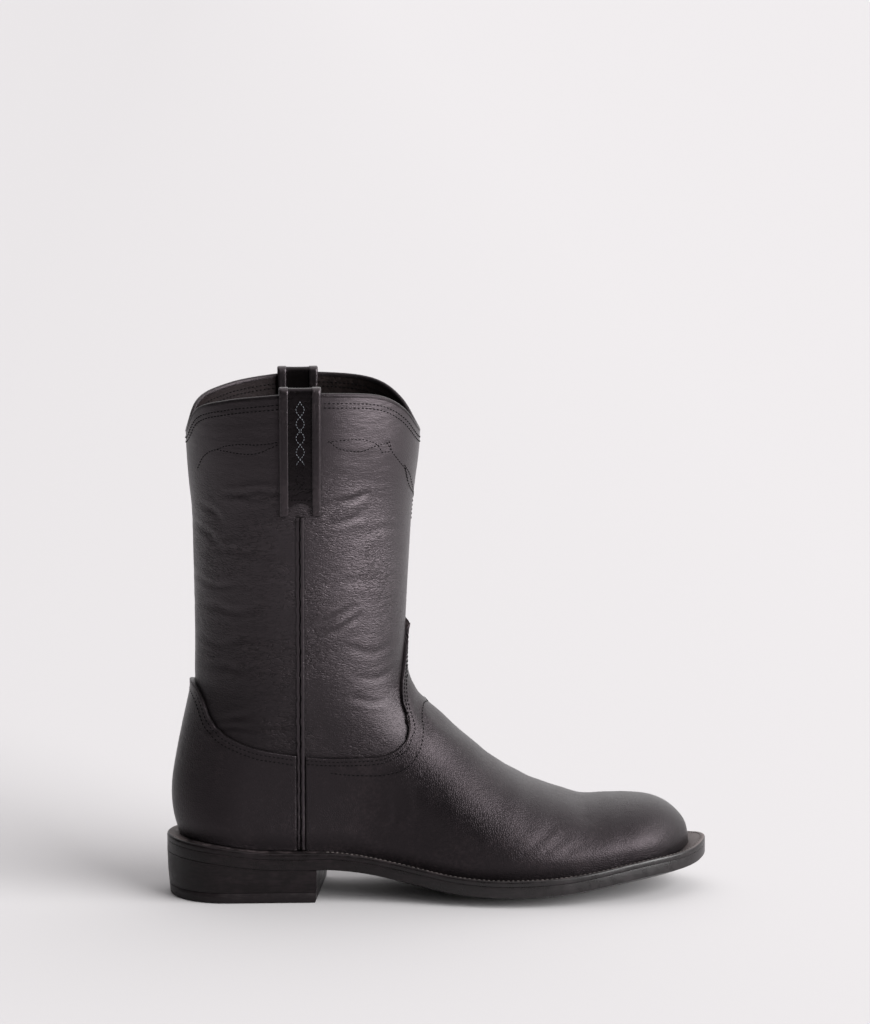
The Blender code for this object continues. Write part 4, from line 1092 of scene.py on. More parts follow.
@dataclass
class Workshop:
    """The finishes that the pieces share, and the ways they are turned into objects."""

    # Grained leather, waxed and left soft on the shaft: a broad satin sheen, with wrinkles and painted shade in
    # their valleys.
    shaft: Finish = Leather(
        "shaft_leather", roughness=0.36, spread=0.10, rear_roughness=0.06, rear_gloss=0.68,
        ankle_gloss=0.50, painted_crease_shade=0.42, gloss=0.70, grain_mm=1.0, grain_depth_mm=0.03,
        wrinkle_depth_mm=0.19, wrinkle_mm=1.8, smooth_from=0.215, smooth_to=0.250,
    )
    # The same leather stretched over the last: pebbled, with hardly a wrinkle.
    vamp: Finish = Leather(
        "vamp_leather", roughness=0.35, spread=0.10, coat=0.0, gloss=0.27, grain_mm=1.15,
        grain_depth_mm=0.065, wrinkle_depth_mm=0.05, wrinkle_flat=1.2, pillow_depth_mm=0.25,
    )
    # The same leather folded into bands and beads: smooth, so that their rims catch the light.
    strap: Finish = Leather(
        "strap_leather", roughness=0.32, spread=0.08, gloss=0.47, grain_depth_mm=0.01,
        wrinkle_depth_mm=0.08, wrinkle_flat=1.0, pillow_depth_mm=0.2,
    )
    # The strap's channel: smooth leather, nearly black, with a sharp gloss.
    channel: Finish = Leather(
        "strap_channel_leather", colour="060505", rubbed="0A0809", roughness=0.22, spread=0.06,
        gloss=0.22, coat=0.0, grain_depth_mm=0.01, wrinkle_depth_mm=0.05, wrinkle_flat=1.0, pillow_depth_mm=0.3,
    )
    # Lining leather with no finish on it: matt and dark brown.
    lining: Finish = Leather(
        "lining_leather", colour="120E0D", rubbed="1E1817", roughness=0.62, coat=0.0, gloss=0.14,
        grain_depth_mm=0.03, wrinkle_depth_mm=0.12, wrinkle_flat=1.0,
    )
    # Sanded, stained and waxed sole leather: it shines at the toe and is dull at the heel.
    edge: Finish = EdgeFinish("sole_edge", roughness=0.29, gloss=0.46, heel_gloss=0.20)
    # Stacked leather lifts, stained like the edge.
    heel: Finish = EdgeFinish("heel_stack_edge", roughness=0.36, heel_gloss=0.18)
    # The welt's raw top: matt, and rubbed pale at the toe and the back.
    welt: Finish = EdgeFinish(
        "welt_leather", colour="161213", streak="3A3334", roughness=0.55, heel_gloss=0.16, worn="5C5352"
    )
    # Moulded black rubber: matt.
    rubber: Finish = EdgeFinish("heel_rubber", colour="110C0E", streak="1A1516", roughness=0.42, heel_gloss=0.20)
    # Waxed threads: matt, so that the black one stays dark on the leather.
    black_thread: Finish = Thread("black_thread", colour="070607", gloss=0.08)
    pale_thread: Finish = Thread("pale_thread", colour="6E7076")
    welt_thread: Finish = Thread("welt_thread", colour="5A5452", gloss=0.2)
    made: dict[str, bpy.types.Material] = field(default_factory=dict, repr=False)

    def of(self, finish: Finish) -> bpy.types.Material:
        """The material of a finish, made once.

        Args:
            finish: the finish.

        Returns:
            Its material.
        """
        if finish.name not in self.made:
            self.made[finish.name] = finish.material()
        return self.made[finish.name]

    def solid(
        self,
        name: str,
        points: Array | list,
        faces: list[tuple[int, ...]],
        finishes: Sequence[Finish],
        which: list[int] | None = None,
    ) -> bpy.types.Object:
        """A closed object from points and faces, with its faces turned out.

        Args:
            name: the object's name.
            points: its points.
            faces: its faces, as indices of points.
            finishes: its finishes.
            which: each face's finish, if there are several.

        Returns:
            The object.
        """
        mesh = bpy.data.meshes.new(name)
        mesh.from_pydata([tuple(map(float, p)) for p in points], [], faces)
        for finish in finishes:
            mesh.materials.append(self.of(finish))
        if which is not None:
            mesh.polygons.foreach_set("material_index", which)
        shell = bmesh.new()
        shell.from_mesh(mesh)
        bmesh.ops.recalc_face_normals(shell, faces=shell.faces)
        shell.to_mesh(mesh)
        shell.free()
        mesh.shade_smooth()
        mesh.set_sharp_from_angle(angle=math.radians(48))
        made = bpy.data.objects.new(name, mesh)
        bpy.context.scene.collection.objects.link(made)
        LOG.info("%s: %d faces", name, len(mesh.polygons))
        return made

    def sheet(
        self, name: str, outer: Array, inner: Array, closed: bool, finishes: Sequence[Finish]
    ) -> bpy.types.Object:
        """A sheet with thickness, from an outer and an inner grid with the same columns.

        Args:
            name: the object's name.
            outer: rows by columns of points on its outer face.
            inner: the same on its inner face, with as many rows if the sheet isn't closed.
            closed: whether the columns run right round.
            finishes: the outer face's finish, and the inner face's if it has one of its own.

        Returns:
            The object.
        """
        faces, which = [], []
        columns = outer.shape[1]
        count = outer.shape[0] * columns
        pairs = [(c, (c + 1) % columns) for c in range(columns if closed else columns - 1)]
        for grid, first, slot in ((outer, 0, 0), (inner, count, len(finishes) - 1)):
            for a in range(first, first + (grid.shape[0] - 1) * columns, columns):
                new = [(a + c, a + columns + c, a + columns + d, a + d) for c, d in pairs]
                faces += new if grid is outer else [face[::-1] for face in new]
                which += [slot] * len(new)
        low, under = count - columns, count + (inner.shape[0] - 1) * columns
        for c, d in pairs:
            faces += [(c, d, count + d, count + c), (low + d, low + c, under + c, under + d)]
        for a in range(0, 0 if closed else low, columns):
            b, e, f = a + columns, a + columns - 1, a + 2 * columns - 1
            faces += [(b, a, count + a, count + b), (e, f, count + f, count + e)]
        which += [0] * (len(faces) - len(which))
        points = np.concatenate([outer.reshape(-1, 3), inner.reshape(-1, 3)])
        return self.solid(name, points, faces, finishes, which)

    def tube(self, name: str, sections: Array, closed: bool, finish: Finish) -> bpy.types.Object:
        """A strip whose closed cross-sections are joined one to the next.

        Args:
            name: the object's name.
            sections: sections by corners of points.
            closed: whether the last section joins the first.
            finish: its finish.

        Returns:
            The object.
        """
        count, corners = sections.shape[:2]
        faces = []
        for i in range(count if closed else count - 1):
            a, b = i * corners, (i + 1) % count * corners
            faces += [(a + k, a + j, b + j, b + k) for k, j in ((k, (k + 1) % corners) for k in range(corners))]
        if not closed:
            faces.append(tuple(range(corners))[::-1])
            faces.append(tuple((count - 1) * corners + k for k in range(corners)))
        return self.solid(name, sections.reshape(-1, 3), faces, [finish])


@dataclass(frozen=True)
class Stitch:
    """The size of a stitch and the step from one to the next."""

    length: float = 0.0018
    thickness: float = 0.00065
    pitch: float = 0.0024
    lift: float = 0.0001


@dataclass
class Stitching:
    """Rows of stitches laid along lines on the leather by one node tree."""

    name: str
    shop: Workshop
    thread: Finish
    stitch: Stitch
    rows: list[tuple[Array, Array, bool]] = field(default_factory=list)
    seed: int = 7

    def sew(self, points: Array, outs: Array, closed: bool = False) -> None:
        """Adds a row along points, given the directions out of the leather there."""
        self.rows.append((points, outs, closed))

    def follow(self, skin: Skin, row: Array, turn: Array, out: float = 0.0, closed: bool = False) -> None:
        """Adds a row along row shares and turns of the skin, inside it if out is under 0."""
        facing = -1.0 if out < 0.0 else 1.0
        self.sew(skin.at(row, turn, out), facing * skin.out_at(row, turn), closed)

    def tree(self) -> bpy.types.NodeTree:
        """The node tree: a line is cut into steps, and each step gets a stitch.

        Returns:
            The tree.
        """
        tree = bpy.data.node_groups.new(f"{self.name}_rows", "GeometryNodeTree")
        kinds = {"Line": "Geometry", "Pitch": "Float", "Length": "Float", "Thickness": "Float", "Lift": "Float"}
        for name, kind in {**kinds, "Seed": "Int", "Thread": "Material"}.items():
            tree.interface.new_socket(name, in_out="INPUT", socket_type=f"NodeSocket{kind}")
        tree.interface.new_socket("Stitches", in_out="OUTPUT", socket_type="NodeSocketGeometry")
        given = add(tree, "NodeGroupInput").node.outputs
        out = add(tree, "GeometryNodeInputNamedAttribute", {"Name": "out"}, data_type="FLOAT_VECTOR")
        line = add(tree, "GeometryNodeMeshToCurve", {"Mesh": given["Line"]})
        steps = add(tree, "GeometryNodeResampleCurve", {"Curve": line, "Length": given["Pitch"]}, mode="LENGTH")
        raised = add(tree, "VectorMath", {0: out, "Scale": given["Lift"]}, operation="SCALE")
        moved = add(tree, "GeometryNodeSetPosition", {"Geometry": steps, "Offset": raised})
        ball = add(tree, "GeometryNodeMeshUVSphere", {"Segments": 6, "Rings": 4, "Radius": 0.5}, "Mesh")
        axes = {"Primary Axis": add(tree, "GeometryNodeInputTangent"), "Secondary Axis": out}
        turned = add(tree, "FunctionNodeAxesToRotation", axes, primary_axis="X", secondary_axis="Z")
        vary = add(tree, "FunctionNodeRandomValue", {2: 0.85, 3: 1.1, "Seed": given["Seed"]}, 1, data_type="FLOAT")
        length = add(tree, "Math", {0: given["Length"], 1: vary}, operation="MULTIPLY")
        size = add(tree, "CombineXYZ", {0: length, 1: given["Thickness"], 2: given["Thickness"]})
        each = {"Points": moved, "Instance": ball, "Rotation": turned, "Scale": size}
        laid = add(tree, "GeometryNodeInstanceOnPoints", each)
        real = add(tree, "GeometryNodeRealizeInstances", {"Geometry": laid})
        soft = add(tree, "GeometryNodeSetShadeSmooth", {"Geometry": real})
        dyed = add(tree, "GeometryNodeSetMaterial", {"Geometry": soft, "Material": given["Thread"]})
        add(tree, "NodeGroupOutput", {0: dyed})
        return tree

    def build(self) -> bpy.types.Object:
        """Lays the stitches and turns them into one plain mesh.

        Returns:
            The object.
        """
        edges, first = [], 0
        for points, _, closed in self.rows:
            last = first + len(points) - 1
            edges += [(i, i + 1) for i in range(first, last)] + ([(last, first)] if closed else [])
            first = last + 1
        mesh = bpy.data.meshes.new(self.name)
        points, outs = (np.concatenate([row[k] for row in self.rows]) for k in (0, 1))
        mesh.from_pydata([tuple(map(float, p)) for p in points], edges, [])
        attribute = mesh.attributes.new("out", "FLOAT_VECTOR", "POINT")
        attribute.data.foreach_set("vector", outs.astype(np.float32).ravel())
        made = bpy.data.objects.new(self.name, mesh)
        bpy.context.scene.collection.objects.link(made)
        modifier = made.modifiers.new("rows", "NODES")
        modifier.node_group = self.tree()
        given = {
            "Pitch": self.stitch.pitch, "Length": self.stitch.length, "Thickness": self.stitch.thickness,
            "Lift": self.stitch.lift, "Seed": self.seed, "Thread": self.shop.of(self.thread),
        }
        for item in modifier.node_group.interface.items_tree:
            if item.name in given:
                modifier[item.identifier] = given[item.name]
        graph = bpy.context.evaluated_depsgraph_get()
        real = bpy.data.meshes.new_from_object(made.evaluated_get(graph), depsgraph=graph)
        made.modifiers.remove(modifier)
        made.data = real
        bpy.data.meshes.remove(mesh)
        LOG.info("%s: %d faces", self.name, len(real.polygons))
        return made


def rounded_edge(distance: Array, radius: float) -> Array:
    """The share of a sheet's thickness at a distance from its cut edge."""
    return 0.45 + 0.55 * rounding(np.asarray(distance) / radius)


def fine_steps(first: float, last: float, count: int, near: Sequence[float]) -> Array:
    """Even steps between two values, with some added at the given distances from both."""
    extra = [first + n for n in near] + [last - n for n in near]
    return np.unique(np.concatenate([np.linspace(first, last, count + 1), extra]))


@dataclass
class Upper:
    """The boot's upper with its lining, and the bound edge round the collar."""

    skin: Skin
    shop: Workshop
    top_rows: int = 143
    foot_rows: int = 40
    lining_rows: int = 56
    bead_half_width: float = 0.0013
    bead_height: float = 0.0022
    bead_foot: float = 0.0005

    def build(self) -> list[bpy.types.Object]:
        """The upper and the binding.

        Returns:
            Both objects.
        """
        last = self.skin.last
        turn = np.arange(2 * self.skin.side_turns) / self.skin.side_turns
        foot = np.linspace(1.02, 2.0, self.foot_rows + 1)[1:]
        rows = np.concatenate([np.linspace(0.0, 1.02, self.top_rows + 1), foot])
        outer = self.skin.at(rows[:, None], turn[None, :])
        inner = self.skin.at(np.linspace(0.0, 2.0, self.lining_rows + 1)[:, None], turn[None, :], -last.wall)
        for grid in (outer, inner):
            grid[-1, :, 2] = last.welt_over(grid[-1, :, 0], grid[-1, :, 1]) + last.seat_gap
        shell = self.shop.sheet("upper_and_lining", outer, inner, True, [self.shop.shaft, self.shop.lining])
        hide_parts("upper")
        across = unit((outer[0] - inner[0]) * [1.0, 1.0, 0.0])
        middle = (outer[0] + inner[0]) / 2.0
        base = np.maximum(outer[0, :, 2], inner[0, :, 2]) + self.bead_foot
        sections = []
        for angle in np.linspace(-0.35, math.pi + 0.35, 11):
            point = middle + across * math.cos(angle) * self.bead_half_width
            point[:, 2] = base + math.sin(angle) * (self.bead_height - self.bead_foot)
            sections.append(point)
        bead = self.shop.tube("collar_binding_bead", np.stack(sections, axis=1), True, self.shop.vamp)
        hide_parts("collar_binding")
        return [shell, bead]

    def sew(self, rows: Stitching) -> None:
        """Two rows of stitches under the collar, outside and inside.

        Args:
            rows: the stitching to add them to.
        """
        turn = np.arange(400) / 200.0
        for distance in (0.0034, 0.0058):
            row = self.skin.beside(np.zeros_like(turn), turn, distance)
            for out in (0.0, -self.skin.last.wall):
                rows.follow(self.skin, row, turn, out, True)


@dataclass
class Overlay:
    """The vamp or the counter: a second layer of leather over the upper, with cut edges."""

    skin: Skin
    shop: Workshop
    name: str
    node: str
    finish: Finish
    seam_offset: float
    rows: int = 104
    columns: int = 250
    edge_round: float = 0.0006
    edge_lift: float = 0.0002
    edge_run: float = 0.0035
    tip_lift: float = 0.0009
    tip_run: float = 0.005
    tip_turns: float = 0.05
    inner_step: int = 4
    inner_gap: float = 0.6

    def turns_at(self, row: float) -> tuple[float, float]:
        """The first and the last turn of a row.

        Args:
            row: the row's share.

        Returns:
            Both turns.
        """
        share = self.skin.last.seam_share
        turn = np.linspace(share - 0.08, share + 0.08, 161)
        at = float(np.interp(self.skin.last.seam_x + self.seam_offset, self.skin.at(row, turn)[:, 0], turn))
        return (at, 2.0 - at) if self.seam_offset > 0 else (-at, at)

    def build(self) -> bpy.types.Object:
        """The overlay as a sheet that keeps clear of the skin.

        Returns:
            The object.
        """
        last = self.skin.last
        rows = fine_steps(1.0, 2.0, self.rows, (0.0015, 0.004, 0.008))
        rows = rows[(rows < 1.01) | (rows > 1.012)]
        ends = np.array([self.turns_at(float(row)) for row in rows])
        share = fine_steps(0.0, 1.0, self.columns, (0.0007, 0.0018))
        turn = ends[:, :1] + share[None, :] * (ends[:, 1:] - ends[:, :1])
        row = rows[:, None] + 0.0 * turn
        base = self.skin.at(row, turn)
        across, down = (np.linalg.norm(np.diff(base, axis=k), axis=2) for k in (1, 0))
        from_left = np.concatenate([np.zeros((len(rows), 1)), np.cumsum(across, axis=1)], axis=1)
        from_side = np.minimum(from_left, from_left[:, -1:] - from_left)
        from_top = np.concatenate([np.zeros((1, len(share))), np.cumsum(down, axis=0)])
        thick = rounded_edge(from_side, self.edge_round) * rounded_edge(from_top, self.edge_round)
        tip = 1.0 if self.seam_offset > 0 else 0.0
        near_tip = np.exp(-(((turn - tip) / self.tip_turns) ** 2) - (from_top / self.tip_run) ** 2)
        proud = self.edge_lift * np.exp(-((from_top / self.edge_run) ** 2)) + self.tip_lift * near_tip
        outer = self.skin.at(row, turn, last.gap + last.overlay_wall * thick + proud)
        # The inner face follows fewer rows, and so passes straight under the finer creases.
        kept = sorted({*range(0, len(rows), self.inner_step), len(rows) - 1})
        inner = self.skin.at(row[kept], turn[kept], last.gap * self.inner_gap)
        for grid in (outer, inner):
            grid[-1, :, 2] = last.welt_over(grid[-1, :, 0], grid[-1, :, 1]) + last.seat_gap
        at = np.linspace(0, len(inner) - 1, len(outer))
        low = np.floor(at).astype(int)
        high = np.minimum(low + 1, len(inner) - 1)
        inner = mix(inner[low], inner[high], (at - low)[:, None, None])
        made = self.shop.sheet(self.name, outer, inner, False, [self.finish])
        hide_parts(self.node)
        return made

    def row_beside(self, distance: float, trim: float = 0.012, count: int = 300) -> tuple[Array, Array]:
        """A line at a distance below the overlay's top edge.

        Args:
            distance: how far below it.
            trim: how much of the turn is left out at both ends.
            count: how many points it gets.

        Returns:
            Its row shares and its turns.
        """
        first, last = self.turns_at(1.03)
        turn = np.linspace(first + trim, last - trim, count)
        return self.skin.beside(np.ones(count), turn, distance), turn


# The decorative rows on the shaft, outer side, as shares like the creases' points.
SHAFT_ROWS = (
    ((0.0992, 0.9159), (0.1133, 0.9231), (0.1419, 0.9288), (0.1665, 0.9288), (0.1947, 0.9327), (0.2112, 0.9367)),
    ((0.0992, 0.9148), (0.1195, 0.9123), (0.1458, 0.9098), (0.1704, 0.9123), (0.1947, 0.9238), (0.2112, 0.9331)),
    ((0.0992, 0.9159), (0.0821, 0.9070), (0.0706, 0.8927), (0.0631, 0.8730)),
    ((0.2985, 0.9360), (0.3333, 0.9385), (0.3662, 0.9363), (0.3869, 0.9242), (0.3954, 0.9091)),
    ((0.3954, 0.9091), (0.4112, 0.9113), (0.4085, 0.9281)),
    ((0.3025, 0.9338), (0.3126, 0.9245), (0.3333, 0.9170), (0.3580, 0.9145), (0.3826, 0.9224), (0.4046, 0.9267)),
    ((0.4046, 0.9267), (0.4141, 0.9073), (0.4269, 0.8869), (0.4378, 0.8687), (0.4427, 0.8444)),
    ((0.4378, 0.8755), (0.4470, 0.8565), (0.4525, 0.8304), (0.4558, 0.8014)),
    ((0.4378, 0.8755), (0.4417, 0.8537), (0.4470, 0.8304), (0.4558, 0.8014)),
    ((0.4558, 0.8014), (0.4585, 0.7800), (0.4598, 0.7585)),
)
# The vamp's wide third row, outer side, from its front down to the seam.
VAMP_ROW = (
    (0.4788, 0.4061), (0.4696, 0.3810), (0.4670, 0.3567), (0.4683, 0.3320), (0.4598, 0.2995),
    (0.4342, 0.2705), (0.3938, 0.2594), (0.3432, 0.2601), (0.3025, 0.2651),
)


@dataclass
class Decoration:
    """The rows of stitches on the shaft and the overlays."""

    skin: Skin
    vamp: Overlay
    counter: Overlay
    tip_clear: float = 0.010

    def sew_pair(self, rows: Stitching, points: Path, count: int, out: float = 0.0) -> None:
        """A line of the table on both sides.

        Args:
            rows: the stitching to add it to.
            points: the line's points, as shares.
            count: how many points it is sewn through.
            out: how far outside the skin it lies.
        """
        line = curve_through([self.skin.find(*self.skin.place(a, u)) for a, u in points], count)
        for turn in (line[:, 1], 2.0 - line[:, 1]):
            rows.follow(self.skin, line[:, 0], turn, out)

    def sew_shaft(self, rows: Stitching) -> None:
        """The shaft's decoration, on both sides."""
        for points in SHAFT_ROWS:
            self.sew_pair(rows, points, 60)

    def sew_overlays(self, rows: Stitching) -> None:
        """Two close rows and a wide one on the vamp, and two on the counter.

        Args:
            rows: the stitching to add them to.
        """
        out = self.skin.last.overlay_out
        for distance in (0.0018, 0.0040):
            row, turn = self.vamp.row_beside(distance)
            for part in (turn < 1.0 - self.tip_clear, turn > 1.0 + self.tip_clear):
                rows.follow(self.skin, row[part], turn[part], out)
        for distance in (0.0024, 0.0056):
            rows.follow(self.skin, *self.counter.row_beside(distance), out)
        self.sew_pair(rows, VAMP_ROW, 90, out)


# The side seam's cross-section in millimetres: across the boot's side, and out of it.
SEAM_SECTION = (
    (-2.5, 0.0), (-2.3, 0.8), (-1.4, 1.1), (-0.65, 0.9), (-0.35, 0.3), (-0.2, 1.3), (0.3, 2.15),
    (0.95, 2.45), (1.65, 2.2), (2.15, 1.3), (2.25, 0.0),
)


def beside_upper(last: Last, x: Array, z: Array, out: Array | float, side: Side) -> Array:
    """Points beside the upper.

    Args:
        last: the boot's form.
        x: places along the boot.
        z: heights.
        out: how far outside the upper's face they lie.
        side: the side of the boot.

    Returns:
        The points.
    """
    half, middle = last.last_half(np.asarray(x, float), np.asarray(z, float))
    return np.stack([x + 0.0 * half, middle + side.value * (half + out), z + 0.0 * half], axis=-1)


@dataclass
class SideSeam:
    """The welted seam down one side: a rounded bead with a flat lip behind it."""

    last: Last
    shop: Workshop
    side: Side
    strap_drop: float = 0.0665
    stations: int = 240
    waver: float = 0.00016
    bead_share: float = 0.15
    out_waver: float = 0.00004

    def build(self) -> bpy.types.Object:
        """The seam's bead, which wavers a little on its way down.

        Returns:
            The object.
        """
        gap = self.last.gap
        top = self.last.collar_height - self.strap_drop - gap
        low = float(self.last.seat_height(self.last.seam_x)) + gap
        across, rise = np.array(SEAM_SECTION).T / 1000.0
        sections = []
        for i, z in enumerate(np.linspace(top, low, self.stations)):
            wave = math.sin(i * 0.55) + 0.6 * math.sin(i * 0.93 + 1.0) + 0.5 * math.sin(i * 0.21)
            x = self.last.seam_x + across + wave * self.waver * np.where(across < 0.0, 1.0, self.bead_share)
            out = gap + np.maximum(rise - gap, 0.0) + self.out_waver * wave * (rise > 0.0)
            section = beside_upper(self.last, x, np.full(len(x), z), out, self.side)
            sections.append(section[:: int(self.side.value)])
        name = "side_seam_outer" if self.side is Side.OUTER else "side_seam_inner"
        made = self.shop.tube(name, np.array(sections), False, self.shop.strap)
        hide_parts("side_piping_lateral" if self.side is Side.OUTER else "side_piping_medial")
        return made


@dataclass
class PullStrap:
    """A pull strap: two folded bands and a stitched channel, looped over the collar."""

    last: Last
    shop: Workshop
    side: Side
    width: float = 0.023
    thickness: float = 0.0014
    band_width: float = 0.005
    band_rise: float = 0.0009
    rim_width: float = 0.0005
    rim_height: float = 0.0002
    hollow: float = 0.0003
    drop: float = 0.0665
    slack: float = 0.0010
    tuck: float = 0.030
    notch: float = 0.0045
    arch: float = 0.0035
    corner: float = 0.0009
    diamond: float = 0.0078
    diamond_half: float = 0.0022

    def __post_init__(self) -> None:
        """Works out where the bands begin and the strap ends."""
        self.half = self.width / 2
        self.channel = self.half - self.band_width
        self.low = self.last.collar_height - self.drop

    def columns(self) -> Array:
        """Places across the strap, close together where its profile bends.

        Returns:
            The places, from one edge to the other.
        """
        outer = [self.half - n for n in (0.0, 0.0002, 0.0005, 0.0010, 0.0018, 0.0026, 0.0034, 0.0042)]
        rims = [self.channel + n for n in (0.0004, 0.0001, -0.0001, -0.0004)]
        side = np.array([*outer, *rims, 0.0050, 0.0035, 0.0018])
        return np.concatenate([-side, [0.0], side[::-1]])

    def extra(self, across: Array) -> Array:
        """How much thicker the strap is in its bands, at places across it.

        Args:
            across: places across the strap.

        Returns:
            Metres, under 0 in the channel.
        """
        within = np.abs(across) - self.channel
        bulge = np.sin(np.pi * np.clip(within / self.band_width, 0.0, 1.0))
        places = (within - 0.0006, self.band_width - within - 0.0010)
        rims = sum(np.exp(-((place / self.rim_width) ** 2)) for place in places)
        hollow = -self.hollow * (1.0 - (across / self.channel) ** 2)
        return np.where(within > 0.0, self.band_rise * (0.7 + 0.45 * bulge) + self.rim_height * rims, hollow)

    def foot(self, across: Array) -> Array:
        """How far above the band ends the strap's lower edge lies.

        Args:
            across: places across the strap.

        Returns:
            Metres.
        """
        middle = np.abs(np.abs(across) - (self.half + self.channel) / 2) / (self.band_width / 2)
        corner = self.corner * (1.0 - np.sqrt(np.clip(1.0 - middle**2, 0.0, 1.0)))
        arch = self.notch + self.arch * (1.0 - (across / self.channel) ** 2)
        return np.where(np.abs(across) < self.channel, arch, corner)

    def build(self) -> bpy.types.Object:
        """The strap, up the outside, over the collar and down inside.

        Returns:
            The object.
        """
        last, across = self.last, self.columns()
        outside, inside = last.gap, -last.wall - last.gap
        bend, centre = (outside - inside) / 2.0, (outside + inside) / 2.0
        shoulder = last.collar_height + last.gap + last.binding_height + self.slack - bend
        edge = rounded_edge(self.half - np.abs(across), 0.0007)
        near, far = [], []
        x, extra, foot = last.seam_x + across, self.extra(across), self.low + self.foot(across)
        for share in np.concatenate([[0.0, 0.003, 0.008, 0.016], np.linspace(0.03, 1.0, 44)]):
            z = mix(foot, shoulder, share)
            thick = (self.thickness + extra) * edge * rounded_edge(z - foot, 0.0010)
            near.append(beside_upper(last, x, z, outside, self.side))
            far.append(beside_upper(last, x, z, outside + thick, self.side))
        for angle in np.linspace(0.0, math.pi, 15)[1:-1]:
            z = np.full(len(x), shoulder + bend * math.sin(angle))
            out = centre + bend * math.cos(angle)
            pulled = 1.0 - 0.6 * math.sin(angle)
            thick = (self.thickness * (0.6 + 0.4 * pulled) + extra * pulled) * edge
            near.append(beside_upper(last, x, z, out, self.side))
            far.append(beside_upper(last, x, z, out + thick * math.cos(angle), self.side))
            far[-1][:, 2] += thick * math.sin(angle)
        for z in np.linspace(shoulder, last.collar_height - self.tuck, 16):
            near.append(beside_upper(last, x, np.full(len(x), z), inside, self.side))
            far.append(beside_upper(last, x, np.full(len(x), z), inside - thick, self.side))
        order = -1 if self.side is Side.OUTER else 1
        name = "pull_strap_outer" if self.side is Side.OUTER else "pull_strap_inner"
        grids = np.array(far)[::order], np.array(near)[::order]
        made = self.shop.sheet(name, *grids, False, [self.shop.strap])
        made.data.materials.append(self.shop.of(self.shop.channel))
        for face in made.data.polygons:
            if abs(face.center.x - last.seam_x) < self.channel and face.center.z > self.low + 0.004:
                face.material_index = 1
        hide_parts("pull_strap_lateral" if self.side is Side.OUTER else "pull_strap_medial")
        return made

    def line(self, across: Array, up: Array) -> tuple[Array, Array]:
        """A line on the channel's outer face.

        Args:
            across: places across the strap.
            up: heights above the lower ends of its bands.

        Returns:
            Its points and the directions out of the strap.
        """
        out = self.last.gap + self.thickness
        points = beside_upper(self.last, self.last.seam_x + across, self.low + up, out, self.side)
        return points, np.tile([0.0, self.side.value, 0.0], (len(points), 1))

    def sew(self, pale: Stitching, dark: Stitching) -> None:
        """A chain of diamonds down the channel, a row along each band and bars at the foot.

        Args:
            pale: the stitching for the chain's upper part.
            dark: the stitching for the rest, and for the chain's lower part as painted shade.
        """
        up = np.linspace(0.0165, self.drop - 0.003, 220)
        swing = self.diamond_half * np.abs(np.sin((up - up[0]) * math.pi / self.diamond))
        for sign in (-1.0, 1.0):
            # Painted shade: the chain's lowest stretch is sewn in black thread, so that it reads dark.
            pale.sew(*self.line(sign * swing[60:], up[60:]))
            dark.sew(*self.line(sign * swing[:60], up[:60]))
            edge = np.full(80, sign * (self.channel - 0.0006))
            dark.sew(*self.line(edge, np.linspace(0.010, self.drop - 0.002, 80)))
        dark.sew(*self.line(np.linspace(-0.0052, 0.0052, 20), np.full(20, 0.0155)))
        dark.sew(*self.line(np.linspace(-0.0045, 0.0045, 20), 0.0095 - 0.0002 * np.arange(20) / 20))


def lifted(face: Height, off: float) -> Height:
    """A height that lies a step above another."""
    return lambda x, y: face(x, y) + off


def level(height: float) -> Height:
    """A height that is the same everywhere."""
    return lambda x, y: np.full(np.shape(x), height)


